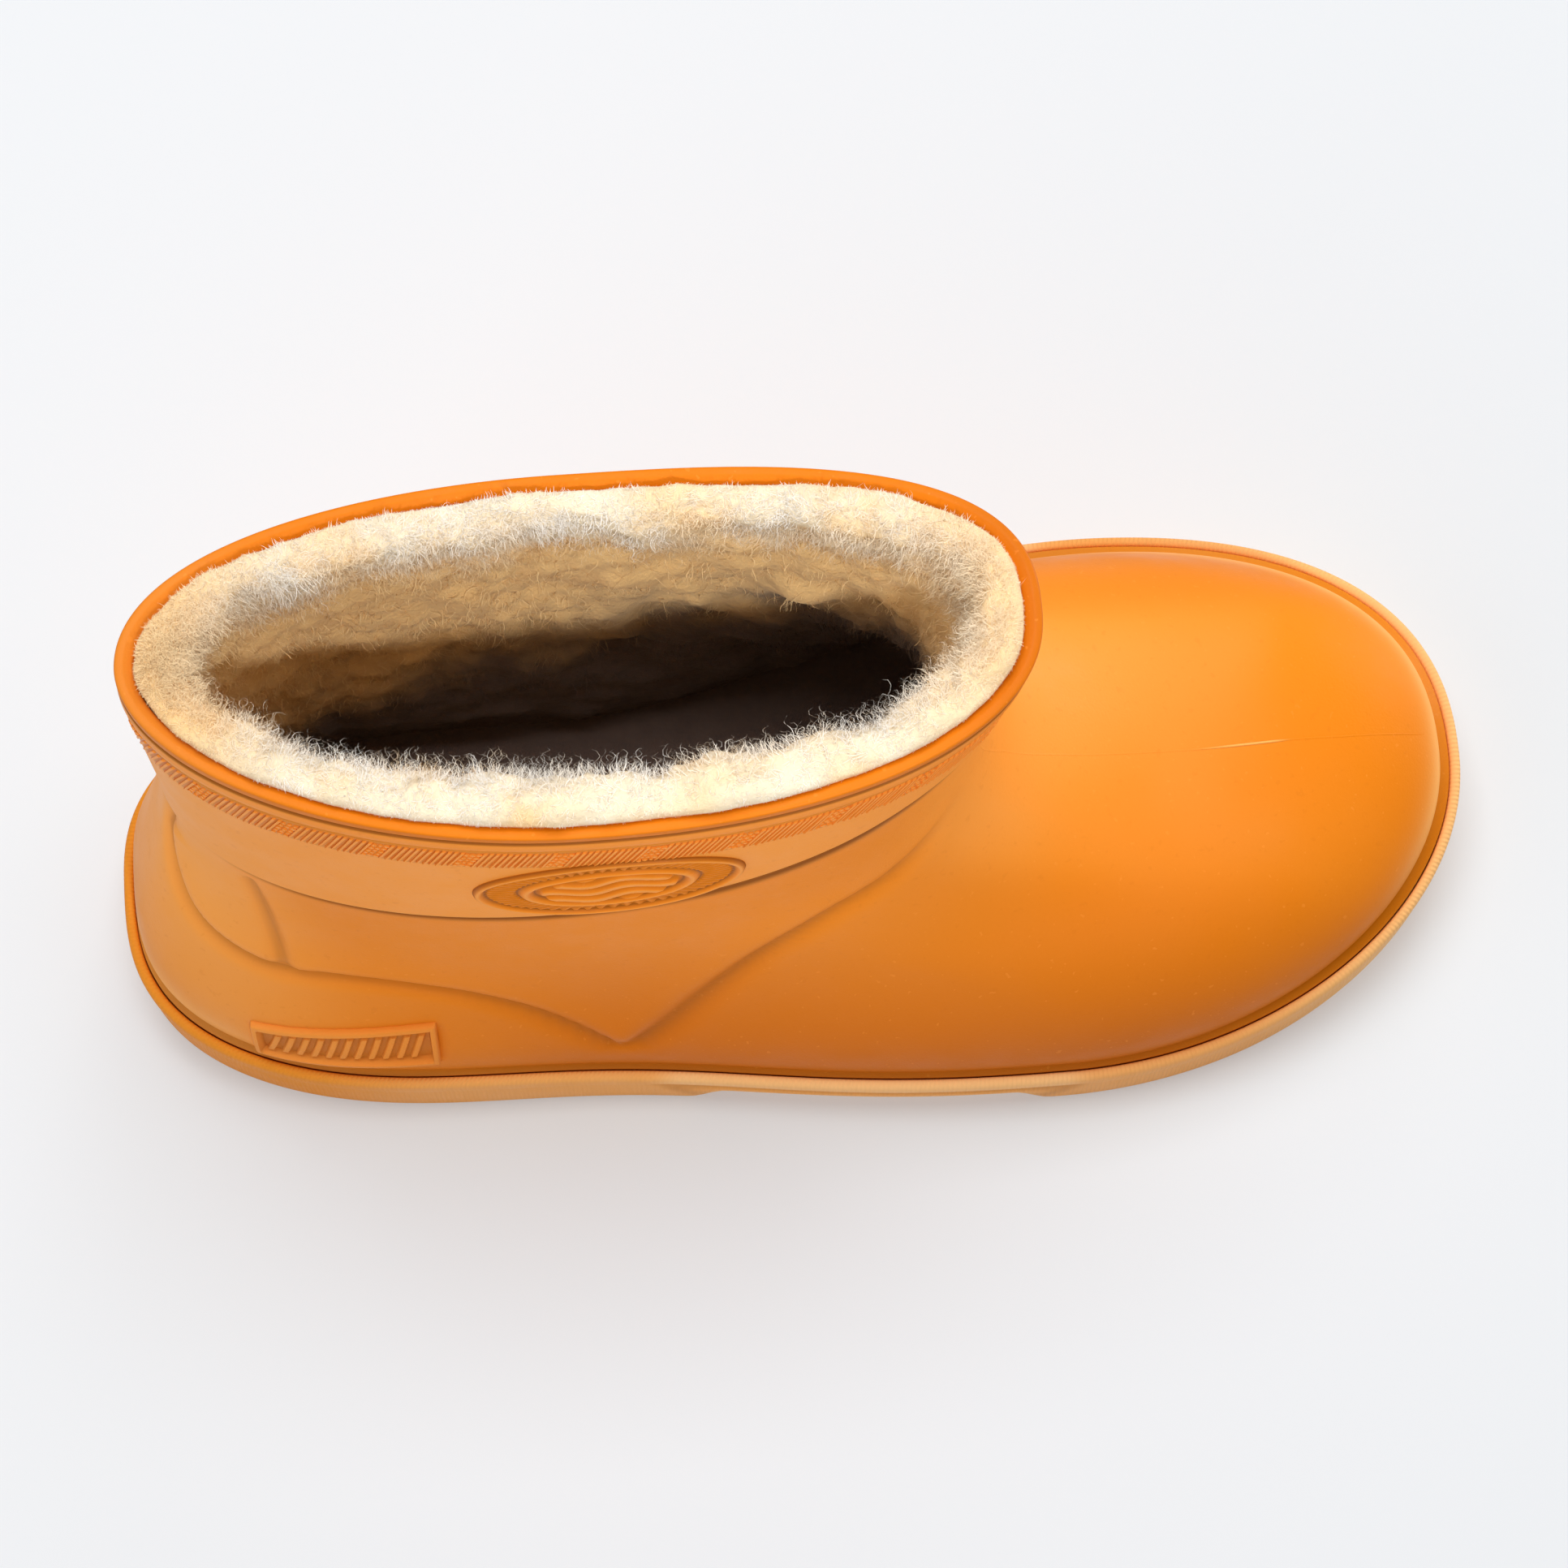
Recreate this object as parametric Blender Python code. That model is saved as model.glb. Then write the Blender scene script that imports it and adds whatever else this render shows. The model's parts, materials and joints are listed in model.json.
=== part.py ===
"""Ankle-high rubber boot with a deep fleece lining, for the right foot.

Sizes are in millimetres, measured along the sole (x, back of the heel at HEEL_X,
tip of the toe at TOE_X), from the sole's middle line (y, inner side positive)
and from the floor (z).
Objects are placed in metres: +X to the toe, +Y to the inner side of the foot,
+Z up, with the origin on the floor under the middle of the sole.
"""
import math

import bmesh
import bpy
import numpy as np

MM = 0.001
GAP = 0.3

# Sole outline
HEEL_X = 1.3
TOE_X = 282.0
BALL_X = 195.0
BALL_LATERAL = 60.3
BALL_MEDIAL = 57.9
HEEL_BLUNT_LATERAL = 2.9
HEEL_BLUNT_MEDIAL = 2.6
TOE_BLUNT_LATERAL = 2.02
TOE_BLUNT_MEDIAL = 2.33
WAIST_X = 100.0
WAIST_SPREAD = 52.0
WAIST_PINCH = 7.3
MEDIAL_PINCH_SHARE = 1.75
HEEL_AXIS_Y = -3.8
TOE_AXIS_Y = 4.0
AXIS_POWER = 1.3

# Sole height: rim round the foot, tread underneath
RIM_AT_BALL = 18.0
RIM_HEEL_RISE = 2.0
RIM_HEEL_FADE = (60.0, 150.0)
RIM_TOE_RISE = 7.4
RIM_TOE_START = 215.0
RIM_TOE_POWER = 1.6
LIP_HEIGHT = 5.0
LEDGE_BELOW_RIM = 4.0
LIP_INNER_INSET = 2.5
HEEL_ROLL = 3.0
HEEL_ROLL_LENGTH = 14.0
ARCH_RISE = 8.0
ARCH_BACK = (116.0, 124.0)
ARCH_FRONT = (184.0, 192.0)
TOE_SPRING = 11.0
TOE_SPRING_START = 228.0
TOE_SPRING_POWER = 1.8

# Each row is one loop round the sole, from the tread edge up to the ledge:
# inset from the outline, added inset under the arch, share of the way from
# tread to lip, and rise above that
SOLE_COLUMNS = ("inset", "arch_inset", "share", "rise")
SOLE_ROWS = (
    (2.4, 1.2, 0.0, 0.0),
    (0.2, -0.1, 0.0, 1.6),
    (0.15, 0.0, 0.6, 0.0),
    (0.3, 1.2, 1.0, -0.5),
    (0.0, 0.0, 1.0, 0.6),
    (0.0, 0.0, 1.0, 4.0),
    (0.7, 0.0, 1.0, 5.0),
    (2.2, 0.0, 1.0, 5.0),
    (2.5, 0.0, 1.0, 1.0),
)

# Tread pockets: first x, spacing and count of each group
GROOVE_WIDTH = 4.5
GROOVE_DEPTH = 3.5
GROOVE_EDGE = 11.0
GROOVE_COLUMNS = ("first_x", "spacing", "count")
GROOVE_ROWS = (
    (28.0, 16.0, 6),
    (199.0, 12.0, 5),
)

# Upper: each row is one ring of the last, from the feather edge to the collar.
# Ends at heel and toe, x of the widest place, half widths there, bluntness of
# heel (outer, inner) and toe (outer, inner), pinch at the waist, how far the ring follows the rim, and its
# share of the straight shaft axis
SECTION_COLUMNS = (
    "back_x", "back_z", "front_x", "front_z", "wide_x", "lateral", "medial",
    "heel_n", "medial_heel_n", "lateral_n", "medial_n", "pinch", "follow", "shaft",
)
SECTION_ROWS = (
    (5.8, 18.5, 276.2, 23.5, 195.0, 56.4, 52.0, 2.90, 2.60, 2.00, 2.33, 7.3, 1.0, 0.00),
    (5.0, 25.0, 276.8, 28.5, 195.0, 57.0, 51.9, 2.90, 2.60, 2.00, 2.33, 7.1, 0.7, 0.00),
    (5.3, 32.0, 273.0, 35.2, 193.0, 54.9, 49.2, 2.90, 2.60, 2.00, 2.32, 6.4, 0.4, 0.00),
    (6.5, 39.3, 262.0, 42.4, 186.0, 50.3, 46.5, 2.85, 2.55, 2.04, 2.30, 5.6, 0.2, 0.05),
    (8.6, 47.1, 245.5, 48.0, 174.0, 45.7, 43.8, 2.75, 2.50, 2.12, 2.28, 4.2, 0.1, 0.15),
    (11.4, 55.4, 226.5, 52.7, 158.0, 42.1, 41.6, 2.65, 2.48, 2.20, 2.32, 2.8, 0.0, 0.30),
    (14.3, 64.9, 208.0, 59.2, 138.0, 39.2, 39.3, 2.50, 2.44, 2.30, 2.36, 1.4, 0.0, 0.55),
    (17.2, 75.8, 192.7, 68.8, 118.0, 37.4, 37.8, 2.35, 2.40, 2.40, 2.48, 0.5, 0.0, 0.80),
    (19.2, 87.5, 183.3, 80.9, 107.2, 36.4, 37.0, 2.32, 2.24, 2.40, 2.48, 0.0, 0.0, 1.00),
    (20.0, 100.5, 179.2, 95.6, 103.8, 35.5, 36.5, 2.26, 2.14, 2.40, 2.50, 0.0, 0.0, 1.00),
    (20.0, 116.1, 179.7, 113.7, 102.4, 34.5, 36.0, 2.18, 2.07, 2.38, 2.50, 0.0, 0.0, 1.00),
    (19.9, 132.6, 182.5, 132.6, 101.6, 33.5, 35.4, 2.08, 2.03, 2.36, 2.50, 0.0, 0.0, 1.00),
    (20.0, 150.0, 186.1, 150.0, 100.9, 32.5, 35.0, 1.94, 2.00, 2.35, 2.50, 0.0, 0.0, 1.00),
)
COLLAR_LEVEL = len(SECTION_ROWS) - 1
COLLAR_DIP = 8.0
COLLAR_DIP_POWER = 6
SHAFT_AXIS_Y = 1.0
SHAFT_AXIS_X = 105.0
SHAFT_AXIS_BEND = 0.00025
WALL = 2.5
FLANGE = 2.2

# Lower edge of the raised shaft panel: angle round the boot, ring level
PANEL_COLUMNS = ("angle", "level")
PANEL_ROWS = (
    (0.0, 10.70), (34.0, 10.40), (44.0, 10.05), (58.0, 9.70), (72.0, 9.36),
    (91.0, 8.88), (107.0, 8.62), (125.0, 8.45), (150.0, 8.37), (180.0, 8.42),
)
PANEL_RAISE = 0.9
PANEL_STEP_LEVELS = 0.07

# Collar beads and band: distance below the collar, height over the wall
COLLAR_COLUMNS = ("drop", "raise")
COLLAR_ROWS = (
    (17.2, 0.9), (16.5, 1.2), (10.0, 1.2), (9.2, 0.3), (8.4, 1.2),
    (4.6, 1.2), (3.9, 0.1), (3.2, 1.1), (0.9, 1.1), (0.0, 0.6),
)

# Ring levels of the faceted walls
FOOT_LEVELS = (0.0, 0.5, 1.0, 1.5, 2.0, 2.6, 3.2, 3.8, 4.5, 5.2, 5.9, 6.6, 7.2)
ANKLE_SHARES = (0.3, 0.6)
PANEL_SHARES = (0.35, 0.7)
INNER_LEVELS = (12.0, 10.8, 9.6, 8.5, 7.5, 6.6, 5.7, 4.8, 3.9, 3.0, 2.1, 1.2, 0.4)

# Fleece lining and insole
FLEECE = 7.0
FLEECE_LOCK = 1.1
FLEECE_CREST = 4.0
LOCKS_ROUND = 9
LOCKS_UP = 2.3
INSOLE = 5.0
INSOLE_CLEARANCE = 1.8
INSOLE_EDGE = 1.0

# Oval medallion on the outer side of the shaft: share of radius, height
MEDALLION_X = 104.8
MEDALLION_Z = 112.8
MEDALLION_LENGTH = 51.5
MEDALLION_HEIGHT = 27.5
MEDALLION_TILT = math.radians(8.0)
MEDALLION_SECTORS = 28
MEDALLION_COLUMNS = ("share", "raise")
MEDALLION_ROWS = (
    (0.0, 0.8), (0.58, 0.8), (0.62, 1.4), (0.72, 1.4), (0.76, 0.8), (0.88, 0.8),
    (0.92, 1.7), (1.0, 1.5),
)

# Plain plate with a raised frame, low on the outer side of the heel
PLATE_X = (28.5, 66.5)
PLATE_Z = (29.5, 35.5)
PLATE_HEIGHT = 11.8
PLATE_FRAME = 1.6
PLATE_RAISE = 1.4
PLATE_FIELD = 0.6
PLATE_COLUMNS_COUNT = 10

# Columns of facets round the boot
COLUMN_COUNT = 52
TURN_WEIGHT = 60.0
NEAR_COLUMN = math.radians(1.6)

RUBBER = (0.80, 0.33, 0.07)
PALE_RUBBER = (0.78, 0.47, 0.22)
CREAM_FLEECE = (0.90, 0.84, 0.70)
BROWN_FELT = (0.33, 0.25, 0.17)


def smoothstep(low, high, value):
    """Ease from 0 at low to 1 at high."""
    share = np.clip((value - low) / (high - low), 0.0, 1.0)
    return share * share * (3.0 - 2.0 * share)


def column(rows, names, name):
    """One named column of a table, as an array."""
    return np.array(rows, dtype=float)[:, names.index(name)]


def foot_axis(x):
    """Middle line of the foot, bent towards the big toe."""
    along = np.clip(x / TOE_X, 0.0, 1.0)
    return HEEL_AXIS_Y + (TOE_AXIS_Y - HEEL_AXIS_Y) * along ** AXIS_POWER


def waist(x):
    """Share of the waist pinch at x."""
    return np.exp(-((x - WAIST_X) / WAIST_SPREAD) ** 2)


def rim_height(x):
    """Top of the sole's lip."""
    toe = np.maximum(0.0, (x - RIM_TOE_START) / (TOE_X - RIM_TOE_START))
    heel = 1.0 - smoothstep(*RIM_HEEL_FADE, x)
    return RIM_AT_BALL + RIM_HEEL_RISE * heel + RIM_TOE_RISE * toe ** RIM_TOE_POWER


def arch(x):
    """1 under the arch, 0 at heel and forefoot."""
    return smoothstep(*ARCH_BACK, x) * (1.0 - smoothstep(*ARCH_FRONT, x))


def tread_height(x):
    """Underside of the sole: rolled heel, arch and toe spring."""
    roll = np.maximum(0.0, (HEEL_ROLL_LENGTH - x) / HEEL_ROLL_LENGTH)
    toe = np.maximum(0.0, (x - TOE_SPRING_START) / (TOE_X - TOE_SPRING_START))
    return HEEL_ROLL * roll ** 2 + ARCH_RISE * arch(x) + TOE_SPRING * toe ** TOE_SPRING_POWER


def rounded_half(cosine, blunt):
    """Half width of a unit superellipse."""
    return np.maximum(0.0, 1.0 - np.abs(cosine) ** blunt) ** (1.0 / blunt)


def sole_outline(angle, inset=0.0):
    """Outline of the sole in plan, moved in by inset."""
    cosine = np.cos(angle)
    lateral = np.sin(angle) < 0.0
    reach = np.where(cosine < 0.0, BALL_X - HEEL_X, TOE_X - BALL_X) - inset
    x = BALL_X + cosine * reach
    toe_blunt = np.where(lateral, TOE_BLUNT_LATERAL, TOE_BLUNT_MEDIAL)
    heel_blunt = np.where(lateral, HEEL_BLUNT_LATERAL, HEEL_BLUNT_MEDIAL)
    blunt = np.where(cosine < 0.0, heel_blunt, toe_blunt)
    pinch = WAIST_PINCH * np.where(lateral, 1.0, MEDIAL_PINCH_SHARE) * waist(x)
    width = np.where(lateral, BALL_LATERAL, BALL_MEDIAL) - inset - pinch
    side = np.where(lateral, -1.0, 1.0)
    return x, foot_axis(x) + side * width * rounded_half(cosine, blunt)


def spline_bends(table):
    """Second differences of a natural cubic through the rows of a table."""
    count = len(table)
    matrix = np.eye(count)
    right = np.zeros_like(table)
    for row in range(1, count - 1):
        matrix[row, row - 1:row + 2] = (1.0, 4.0, 1.0)
        right[row] = 6.0 * (table[row - 1] - 2.0 * table[row] + table[row + 1])
    return np.linalg.solve(matrix, right)


SECTION_TABLE = np.array(SECTION_ROWS)
SECTION_BENDS = spline_bends(SECTION_TABLE)


def section(level):
    """Sizes of the ring at a level, smooth between the rows."""
    low = np.clip(np.floor(level).astype(int), 0, COLLAR_LEVEL - 1)
    up = (level - low)[..., None]
    down = 1.0 - up
    sizes = down * SECTION_TABLE[low] + up * SECTION_TABLE[low + 1]
    sizes = sizes + (down ** 3 - down) / 6.0 * SECTION_BENDS[low]
    sizes = sizes + (up ** 3 - up) / 6.0 * SECTION_BENDS[low + 1]
    return {name: sizes[..., index] for index, name in enumerate(SECTION_COLUMNS)}


def last_surface(angle, level):
    """Point of the upper's plain wall at an angle round it and a ring level."""
    angle, level = np.broadcast_arrays(np.asarray(angle, float), np.asarray(level, float))
    ring = section(level)
    cosine = np.cos(angle)
    lateral = np.sin(angle) < 0.0
    behind = cosine < 0.0
    reach = np.where(behind, ring["wide_x"] - ring["back_x"], ring["front_x"] - ring["wide_x"])
    x = ring["wide_x"] + cosine * reach
    toe_blunt = np.where(lateral, ring["lateral_n"], ring["medial_n"])
    heel_blunt = np.where(lateral, ring["heel_n"], ring["medial_heel_n"])
    blunt = np.where(behind, heel_blunt, toe_blunt)
    pinch = ring["pinch"] * np.where(lateral, 1.0, MEDIAL_PINCH_SHARE) * waist(x)
    width = np.where(lateral, ring["lateral"], ring["medial"]) - pinch
    shaft_axis = SHAFT_AXIS_Y + SHAFT_AXIS_BEND * (x - SHAFT_AXIS_X) ** 2
    axis = (1.0 - ring["shaft"]) * foot_axis(x) + ring["shaft"] * shaft_axis
    y = axis + np.where(lateral, -1.0, 1.0) * width * rounded_half(cosine, blunt)
    along = (x - ring["back_x"]) / (ring["front_x"] - ring["back_x"])
    rim_back = rim_height(ring["back_x"])
    rim_line = rim_back + (rim_height(ring["front_x"]) - rim_back) * along
    z = ring["back_z"] + (ring["front_z"] - ring["back_z"]) * along
    z = z + ring["follow"] * (rim_height(x) - rim_line)
    dip = np.clip(level / COLLAR_LEVEL, 0.0, 1.0) ** COLLAR_DIP_POWER
    z = z - COLLAR_DIP * np.sin(angle) ** 2 * dip
    return np.stack((x, y, z), axis=-1)


def outward(angle, level):
    """Unit normal of the plain wall, pointing out of the boot."""
    step = 0.001
    low = np.clip(np.asarray(level, float) - step, 0.0, COLLAR_LEVEL - 2.0 * step)
    high = low + 2.0 * step
    middle = low + step
    round_ = last_surface(angle + step, middle) - last_surface(angle - step, middle)
    rising = last_surface(angle, high) - last_surface(angle, low)
    normal = np.cross(round_, rising)
    return normal / np.linalg.norm(normal, axis=-1, keepdims=True)


def wall(angle, level, distance):
    """Point at a distance outside the plain wall (negative is inside)."""
    distance = np.broadcast_to(np.asarray(distance, float), np.shape(angle))
    return last_surface(angle, level) + outward(angle, level) * distance[..., None]


def panel_level(angle):
    """Ring level of the shaft panel's lower edge, the same on both sides."""
    turn = np.degrees(np.abs(np.arctan2(np.sin(angle), np.cos(angle))))
    angles = column(PANEL_ROWS, PANEL_COLUMNS, "angle")
    return np.interp(turn, angles, column(PANEL_ROWS, PANEL_COLUMNS, "level"))


def level_below_collar(drop):
    """Ring level at a distance below the collar, read at the heel."""
    levels = np.linspace(COLLAR_LEVEL - 3.0, COLLAR_LEVEL, 301)
    heights = section(levels)["back_z"]
    return float(np.interp(heights[-1] - drop, heights, levels))


def side_place(x, z):
    """Angle and level of a point of the outer side, from its x and z."""
    low = np.zeros_like(x)
    high = np.full_like(x, float(COLLAR_LEVEL))
    for _ in range(40):
        level = 0.5 * (low + high)
        ring = section(level)
        behind = x < ring["wide_x"]
        reach = np.where(behind, ring["wide_x"] - ring["back_x"], ring["front_x"] - ring["wide_x"])
        angle = -np.arccos(np.clip((x - ring["wide_x"]) / reach, -1.0, 1.0))
        above = last_surface(angle, level)[..., 2] > z
        high = np.where(above, level, high)
        low = np.where(above, low, level)
    return angle, level


def column_angles():
    """Angles round the boot, closer where the outline turns, with the arch steps."""
    angle = np.linspace(0.0, math.pi, 2001)
    x, y = sole_outline(-angle)
    step_x = np.gradient(x)
    step_y = np.gradient(y)
    turn = np.abs(np.gradient(np.unwrap(np.arctan2(step_y, step_x))))
    travel = np.cumsum(np.hypot(step_x, step_y) + TURN_WEIGHT * turn)
    travel = (travel - travel[0]) / (travel[-1] - travel[0])
    half = np.interp(np.linspace(0.0, 1.0, COLUMN_COUNT // 2 + 1), travel, angle)
    steps = np.arccos((np.array(ARCH_BACK + ARCH_FRONT) - BALL_X) / (BALL_X - HEEL_X))
    far = np.min(np.abs(half[:, None] - steps[None, :]), axis=1) > NEAR_COLUMN
    half = np.sort(np.concatenate((half[far], steps)))
    return np.concatenate((half, -half[-2:0:-1]))


ANGLES = column_angles()
OUTLINE_Y = sole_outline(np.linspace(-math.pi, math.pi, 3601))[1]
MIDDLE_Y = 0.5 * (OUTLINE_Y.min() + OUTLINE_Y.max())


def placed(points):
    """Millimetres on the shoe to metres in the part's frame."""
    shift = np.array((0.5 * (HEEL_X + TOE_X), MIDDLE_Y, 0.0))
    return (np.asarray(points) - shift) * MM


def ledge_height(x):
    """Top of the sole inside its lip."""
    return rim_height(x) - LEDGE_BELOW_RIM


def on_floor_of(points, rise):
    """The same ring in plan, laid at a rise over the sole's ledge."""
    flat = points.copy()
    flat[..., 2] = ledge_height(points[..., 0]) + rise
    return flat


def material(name, colour, roughness):
    """Plain Principled material."""
    made = bpy.data.materials.new(name)
    made.use_nodes = True
    shader = made.node_tree.nodes["Principled BSDF"]
    shader.inputs["Base Color"].default_value = (*colour, 1.0)
    shader.inputs["Roughness"].default_value = roughness
    return made


def finish_mesh(name, mesh_builder, look, collection):
    """Turn a bmesh into a named object with its material."""
    bmesh.ops.recalc_face_normals(mesh_builder, faces=mesh_builder.faces)
    mesh = bpy.data.meshes.new(name)
    mesh_builder.to_mesh(mesh)
    mesh_builder.free()
    mesh.materials.append(look)
    made = bpy.data.objects.new(name, mesh)
    collection.objects.link(made)
    return made


def bridge(mesh_builder, low, high):
    """Quads between two loops of the same count."""
    count = len(low)
    for index in range(count):
        after = (index + 1) % count
        mesh_builder.faces.new((low[index], low[after], high[after], high[index]))


def close_across(mesh_builder, loop):
    """Close a loop with strips from its outer to its inner side."""
    count = len(loop)
    for index in range(count // 2):
        corners = (loop[index], loop[index + 1], loop[count - index - 1], loop[-index])
        mesh_builder.faces.new(tuple(dict.fromkeys(corners)))


def loft(name, rings, look, collection, hollow):
    """Solid through rings: a hollow one joins last to first, others get ends."""
    builder = bmesh.new()
    loops = [[builder.verts.new(point) for point in placed(ring)] for ring in rings]
    for low, high in zip(loops, loops[1:]):
        bridge(builder, low, high)
    if hollow:
        bridge(builder, loops[-1], loops[0])
    else:
        close_across(builder, loops[0])
        close_across(builder, loops[-1])
    bmesh.ops.triangulate(builder, faces=builder.faces, quad_method="FIXED")
    return finish_mesh(name, builder, look, collection)


def build_outsole(look, collection, cutters):
    """Outsole with lip, arch, toe spring and pockets in the tread."""
    rings = []
    base_x = sole_outline(ANGLES)[0]
    for inset, arch_inset, share, rise in SOLE_ROWS:
        x, y = sole_outline(ANGLES, inset + arch_inset * arch(base_x))
        tread = tread_height(base_x)
        lip = rim_height(x) - LIP_HEIGHT
        rings.append(np.stack((x, y, tread + share * (lip - tread) + rise), axis=-1))
    outsole = loft("outsole", rings, look, collection, hollow=False)
    builder = bmesh.new()
    for first_x, spacing, count in GROOVE_ROWS:
        for index in range(count):
            add_groove(builder, first_x + spacing * index)
    cutter = finish_mesh("tread_cutter", builder, look, cutters)
    cutter.display_type = "WIRE"
    cutter.hide_render = True
    cut = outsole.modifiers.new("tread", "BOOLEAN")
    cut.operation = "DIFFERENCE"
    cut.solver = "EXACT"
    cut.object = cutter


def add_groove(builder, x):
    """One box across the tread, short of the sole's edge."""
    cosine = (x - BALL_X) / (BALL_X - HEEL_X if x < BALL_X else TOE_X - BALL_X)
    turn = math.acos(cosine)
    lateral = float(sole_outline(np.array(-turn))[1]) + GROOVE_EDGE
    medial = float(sole_outline(np.array(turn))[1]) - GROOVE_EDGE
    top = float(tread_height(np.array(x))) + GROOVE_DEPTH
    low = placed((x - GROOVE_WIDTH / 2.0, lateral, -GROOVE_DEPTH))
    high = placed((x + GROOVE_WIDTH / 2.0, medial, top))
    cube = bmesh.ops.create_cube(builder, size=1.0)["verts"]
    bmesh.ops.scale(builder, verts=cube, vec=high - low)
    bmesh.ops.translate(builder, verts=cube, vec=(low + high) / 2.0)


def upper_outside():
    """Outer rings of the upper, from the feather edge to the collar."""
    rings = [wall(ANGLES, np.full_like(ANGLES, level), 0.0) for level in FOOT_LEVELS]
    edge = panel_level(ANGLES)
    for share in ANKLE_SHARES:
        level = FOOT_LEVELS[-1] + share * (edge - PANEL_STEP_LEVELS - FOOT_LEVELS[-1])
        rings.append(wall(ANGLES, level, 0.0))
    rings.append(wall(ANGLES, edge - PANEL_STEP_LEVELS, 0.0))
    rings.append(wall(ANGLES, edge, PANEL_RAISE))
    band = level_below_collar(COLLAR_ROWS[0][0])
    for share in PANEL_SHARES:
        rings.append(wall(ANGLES, edge + share * (band - edge), PANEL_RAISE))
    for drop, raise_ in COLLAR_ROWS:
        level = np.full_like(ANGLES, level_below_collar(drop))
        rings.append(wall(ANGLES, level, raise_))
    return rings


def inner_rings(depth, lock=0.0):
    """Rings at a depth inside the wall, from the collar down to the feather edge."""
    rings = []
    for level in INNER_LEVELS:
        levels = np.full_like(ANGLES, level)
        rings.append(wall(ANGLES, levels, -depth - lock * fleece_lock(ANGLES, levels)))
    return rings


def fleece_lock(angle, level):
    """Uneven swell of the fleece, fading out at the insole."""
    swell = np.sin(LOCKS_ROUND * angle + 1.7 * np.sin(LOCKS_UP * level))
    swell = swell * np.cos(LOCKS_UP * level + 0.8 * np.sin(3.0 * angle))
    return swell * smoothstep(1.0, 3.0, level)


def build_upper(look, collection):
    """Hollow moulded upper with flange, shaft panel, band and collar beads."""
    feather_x, feather_y = sole_outline(ANGLES, LIP_INNER_INSET + GAP)
    flange = np.stack((feather_x, feather_y, np.zeros_like(feather_x)), axis=-1)
    rings = [on_floor_of(flange, GAP), on_floor_of(flange, GAP + FLANGE)]
    rings += upper_outside()
    inside = inner_rings(WALL)
    rings += inside
    foot = wall(ANGLES, np.zeros_like(ANGLES), -WALL)
    rings.append(on_floor_of(foot, GAP))
    loft("upper", rings, look, collection, hollow=True)


def build_lining(look, collection):
    """Fleece tube inside the upper, with swelling locks and a rounded crest."""
    outer_depth = WALL + GAP
    inner_depth = outer_depth + FLEECE
    outer = inner_rings(outer_depth)
    inner = inner_rings(inner_depth, FLEECE_LOCK)
    crest = 0.5 * (outer[0] + inner[0])
    crest[:, 2] += FLEECE_CREST
    zero = np.zeros_like(ANGLES)
    outer_foot = on_floor_of(wall(ANGLES, zero, -outer_depth), GAP)
    inner_foot = on_floor_of(wall(ANGLES, zero, -inner_depth), GAP)
    rings = [crest] + outer + [outer_foot, inner_foot] + inner[::-1]
    loft("fleece_lining", rings, look, collection, hollow=True)


def build_insole(look, collection):
    """Insole on the sole, inside the lining."""
    depth = WALL + GAP + FLEECE + INSOLE_CLEARANCE
    zero = np.zeros_like(ANGLES)
    full = wall(ANGLES, zero, -depth)
    small = wall(ANGLES, zero, -depth - INSOLE_EDGE)
    rings = [
        on_floor_of(full, GAP),
        on_floor_of(full, GAP + INSOLE - INSOLE_EDGE),
        on_floor_of(small, GAP + INSOLE),
    ]
    loft("insole", rings, look, collection, hollow=False)


def build_medallion(look, collection):
    """Plain oval medallion, laid on the shaft panel."""
    turn = np.linspace(0.0, 2.0 * math.pi, MEDALLION_SECTORS, endpoint=False)
    builder = bmesh.new()

    def oval(share, distance):
        along = 0.5 * MEDALLION_LENGTH * share * np.cos(turn)
        rising = 0.5 * MEDALLION_HEIGHT * share * np.sin(turn)
        x = MEDALLION_X + along * math.cos(MEDALLION_TILT) - rising * math.sin(MEDALLION_TILT)
        z = MEDALLION_Z + along * math.sin(MEDALLION_TILT) + rising * math.cos(MEDALLION_TILT)
        return placed(wall(*side_place(x, z), PANEL_RAISE + GAP + distance))

    top = builder.verts.new(oval(0.0, MEDALLION_ROWS[0][1])[0])
    under = builder.verts.new(oval(0.0, 0.0)[0])
    rings = [oval(share, raise_) for share, raise_ in MEDALLION_ROWS[1:]]
    rings += [oval(1.0, 0.0), oval(0.5, 0.0)]
    loops = [[builder.verts.new(point) for point in ring] for ring in rings]
    for low, high in zip(loops, loops[1:]):
        bridge(builder, low, high)
    for hub, loop in ((top, loops[0]), (under, loops[-1])):
        for index in range(MEDALLION_SECTORS):
            builder.faces.new((hub, loop[index], loop[(index + 1) % MEDALLION_SECTORS]))
    finish_mesh("side_medallion", builder, look, collection)


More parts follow.
